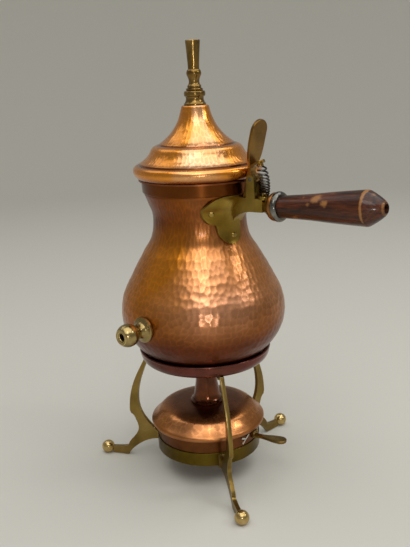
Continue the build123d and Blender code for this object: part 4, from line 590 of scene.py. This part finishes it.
# Turned hardwood under red-brown shellac: dark streaks of grain along the grip, drawn a little coarser than
# real so that they show, and tan where it is rubbed bare
grip_wood, tree = new_finish("shellacked_hardwood")
place = add_node(tree, "ShaderNodeTexCoord").outputs["Object"]
turn = add_node(tree, "ShaderNodeMapping", {
    "Vector": place, "Location": (POT_X / -1000, POT_Y / -1000, HANDLE_Z / -1000)})
level = add_node(tree, "ShaderNodeMapping", {"Vector": turn.outputs[0], "Rotation": (0.0, RISE, 0.0)})
fibre_way = add_node(tree, "ShaderNodeMapping", {"Vector": level.outputs[0], "Scale": (0.08, 1.0, 1.0)})
grain = add_node(tree, "ShaderNodeTexNoise", {"Vector": fibre_way.outputs[0], "Scale": 1000 / 0.9,
                                              "Detail": 5.0, "Roughness": 0.65})
ground = add_node(tree, "ShaderNodeTexNoise", {"Vector": fibre_way.outputs[0], "Scale": 1000 / 5.0,
                                               "Detail": 3.0})
tone = add_node(tree, "ShaderNodeMath", {0: grain.outputs[0], 1: ground.outputs[0]},
                operation="MULTIPLY")
depth = add_node(tree, "ShaderNodeMapRange", {"Value": tone.outputs[0], "From Min": 0.17,
                                              "From Max": 0.36})
dark = add_node(tree, "ShaderNodeMix", {0: depth.outputs[0], 6: linear("#1C0A04"),
                                        7: linear("#5C2A0E")}, data_type="RGBA")
fleck = add_node(tree, "ShaderNodeTexNoise", {"Vector": level.outputs[0], "Scale": 1000 / 7.0,
                                              "Detail": 7.0, "Roughness": 0.68})
hand = add_node(tree, "ShaderNodeAttribute", attribute_name="worn")
bare = add_node(tree, "ShaderNodeMath", {0: fleck.outputs[0], 1: hand.outputs["Fac"]})
rubbed = add_node(tree, "ShaderNodeMapRange", {"Value": bare.outputs[0], "From Min": 0.76,
                                               "From Max": 1.02})
colour = add_node(tree, "ShaderNodeMix", {0: rubbed.outputs[0], 6: dark.outputs[2],
                                          7: linear("#966636")}, data_type="RGBA")
relief = add_node(tree, "ShaderNodeBump", {"Height": grain.outputs[0], "Strength": 0.15,
                                           "Distance": 0.0003})
wood = add_node(tree, "ShaderNodeBsdfPrincipled", {
    "Base Color": colour.outputs[2], "Roughness": 0.42, "Specular IOR Level": 0.2, "Coat Weight": 0.35,
    "Coat Roughness": 0.12, "Normal": relief.outputs[0]})
add_node(tree, "ShaderNodeOutputMaterial", {"Surface": wood.outputs[0]})
skin("grip_turned", grip_grid, "pot", grip_wood, "grip_wood", "grip", worn=rubs)

# Lever: flat brass bar with a round paddle for the thumb, hinged in the bracket's ears and pushed up by a
# spring of hard steel wire wound on a bowed line from the arm to the lever's shelf.

# Rolled brass gone brown, its edges rubbed
dress(aged_metal("rolled_brass_brown", "#A47C3C", "#906A2C", "#5C4220", 0.30, patch_mm=22), "lever")
ease_edges(0.4, rubbed_brass, "lever")

# distances from the pot's axis and heights of the spring's ends, and the bow of its line between them
FOOT, HEAD, BOW = (61.6, 231.5), (58.6, 253.6), 2.2
COIL_R, COIL_LEAN, WIRE_R, WIRE_TIP_R, TURNS = 3.25, 0.1, 0.65, 0.02, 8.5
ALONG_WIRE, ROUND_WIRE = 1100, 12
# share of the line at each end where the wire no longer winds
STRAIGHT = 0.07
t = np.linspace(0, 1, ALONG_WIRE)
wind = np.clip((t - STRAIGHT) / (1 - 2 * STRAIGHT), 0, 1)
centre_x = FOOT[0] + (HEAD[0] - FOOT[0]) * t + BOW * 4 * t * (1 - t)
centre_z = FOOT[1] + (HEAD[1] - FOOT[1]) * t
# close coils at the foot that open towards the head: turns = 1.4 w - 0.4 w squared of them all
turns = 2 * pi * TURNS * (1.4 * wind - 0.4 * wind**2)
coil = np.stack([POT_X + centre_x + COIL_R * np.cos(turns), POT_Y + COIL_R * np.sin(turns),
                 centre_z - COIL_LEAN * COIL_R * np.cos(turns)], axis=-1)
# the wire is a circle carried along the coil, square to its way, thinned to a point at both ends
way = np.gradient(coil, axis=0)
way /= np.linalg.norm(way, axis=1)[:, None]
out = np.stack([np.cos(turns), np.sin(turns), -COIL_LEAN * np.cos(turns)], axis=-1)
out -= way * (out * way).sum(1)[:, None]
out /= np.linalg.norm(out, axis=1)[:, None]
side = np.cross(way, out)
around = np.linspace(0, 2 * pi, ROUND_WIRE, endpoint=False)[None, :, None]
thick = np.full(len(t), WIRE_R)
thick[[0, -1]] = WIRE_TIP_R
section = np.cos(around) * out[:, None] + np.sin(around) * side[:, None]
wire = (coil[:, None] + thick[:, None, None] * section) / 1000
# Hard drawn steel wire: near black with bright patches, darker towards the foot
spring_steel = aged_metal("drawn_steel_wire", "#8E8C8A", "#767472", "#262422", 0.22, patch_mm=3,
                          tarnish=0.6)
darker_to_foot = np.repeat(fade(t, none_at=0.65, full_at=0.15), ROUND_WIRE)
spring = skin("return_spring_wire", wire, None, spring_steel, "spring_steel", "return_spring",
              painted_shade_and_darkening=darker_to_foot, poles=True)
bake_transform(spring)

# Room: a pale floor that curves up into a low wall all round, under a plain grey world. Small lamps in front
# and on the right give the highlights of windows, a wide one overhead lights all, and two light the back.

# radius of the floor and of the curve above it in metres, and the angle at which the curve starts
FLOOR_R, WALL_R, WALL_FROM = 1.5, 0.9, 0.1
ROOM_ACROSS = 96
a = np.linspace(0, 2 * pi, ROOM_ACROSS, endpoint=False)
flat = np.concatenate([[0.001], np.linspace(0.2, FLOOR_R, 8)])
climb = np.linspace(WALL_FROM, pi / 2, 12)
r = np.concatenate([flat, FLOOR_R + WALL_R * np.sin(climb)])
h = np.concatenate([0 * flat, WALL_R * (1 - np.cos(climb))])
room = np.stack([r[:, None] * np.cos(a), r[:, None] * np.sin(a), h[:, None] + 0 * a], axis=-1)
index = np.arange(len(r) * ROOM_ACROSS).reshape(len(r), ROOM_ACROSS)
right = np.roll(index, -1, axis=1)
quads = np.stack([index[:-1], index[1:], right[1:], right[:-1]], axis=-1).reshape(-1, 4)
mesh = bpy.data.meshes.new("floor")
mesh.from_pydata(room.reshape(-1, 3).tolist(), [], quads.tolist() + [index[0].tolist()])
mesh.shade_smooth()
# Pale paper: matt, a warm light grey
paper, tree = new_finish("pale_paper")
matt = add_node(tree, "ShaderNodeBsdfPrincipled", {"Base Color": linear("#CBC9C0"), "Roughness": 0.95})
add_node(tree, "ShaderNodeOutputMaterial", {"Surface": matt.outputs[0]})
mesh.materials.append(paper)
floor = bpy.data.objects.new("floor", mesh)
bpy.context.scene.collection.objects.link(floor)

world = bpy.data.worlds.new("studio")
world.use_nodes = True
world.node_tree.nodes.clear()
sky = add_node(world.node_tree, "ShaderNodeBackground", {"Color": linear("#949390"), "Strength": 1.0})
add_node(world.node_tree, "ShaderNodeOutputWorld", {"Surface": sky.outputs[0]})
bpy.context.scene.world = world

# bearing of the camera from the pot in degrees, and the height that the lamps are aimed at in metres
CAMERA_TO, AIM_Z = -48.5, 0.17


def set_up(name, data, across, up, back, place):
    """Puts a lamp or a camera at a place in the room, with its own three axes across, up and backwards."""
    thing = bpy.data.objects.new(name, data)
    bpy.context.scene.collection.objects.link(thing)
    pose = np.eye(4)
    pose[:3] = np.stack([across, up, back, place], axis=1)
    thing.matrix_world = Matrix(pose.tolist())
    return thing


def studio_lamp(name, bearing, elevation, distance, size, power):
    """Area lamp of a width and height in metres, aimed at the pot from a distance, an elevation and a bearing
    that is counted from the camera's own."""
    light = bpy.data.lights.new(name, "AREA")
    light.shape = "RECTANGLE"
    light.size, light.size_y = size
    light.energy = power
    turn, lift = radians(CAMERA_TO + bearing), radians(elevation)
    out = np.array([cos(turn) * cos(lift), sin(turn) * cos(lift), sin(lift)])
    across = np.array([-sin(turn), cos(turn), 0.0])
    place = np.array([POT_X / 1000, POT_Y / 1000, AIM_Z]) + distance * out
    set_up(name, light, across, np.cross(out, across), out, place)


studio_lamp("window_middle", 2, 43, 1.15, (0.22, 0.40), 0.9)
studio_lamp("window_right", 74, 34, 1.15, (0.20, 0.24), 1.3)
studio_lamp("low_front", 5, 5, 0.8, (0.06, 0.06), 0.5)
studio_lamp("overhead", 15, 72, 1.7, (2.2, 2.0), 24.0)
studio_lamp("back_right", 118, 52, 1.4, (0.50, 0.40), 1.3)
studio_lamp("back_left", -120, 50, 1.4, (0.80, 0.60), 1.3)

# Camera: it stands where the photograph was taken from, a little above the lid and over the tap's side, and
# leans as the photograph does. Place, lens and lean were worked out from the object's own outlines.
TURN, PITCH, ROLL = radians(41.5), radians(15.33), radians(-2.32)
CAMERA_PLACE, LENS_MM = (0.33546, -0.41952, 0.3171), 48.3
right = np.array([cos(TURN), sin(TURN), 0.0])
forward = np.array([-sin(TURN) * cos(PITCH), cos(TURN) * cos(PITCH), -sin(PITCH)])
up = np.cross(right, forward)
lens = bpy.data.cameras.new("camera")
lens.lens = LENS_MM
camera = set_up("camera", lens, right * cos(ROLL) + up * sin(ROLL), -right * sin(ROLL) + up * cos(ROLL),
                -forward, CAMERA_PLACE)
bpy.context.scene.camera = camera
bpy.context.scene.view_settings.view_transform = "Standard"
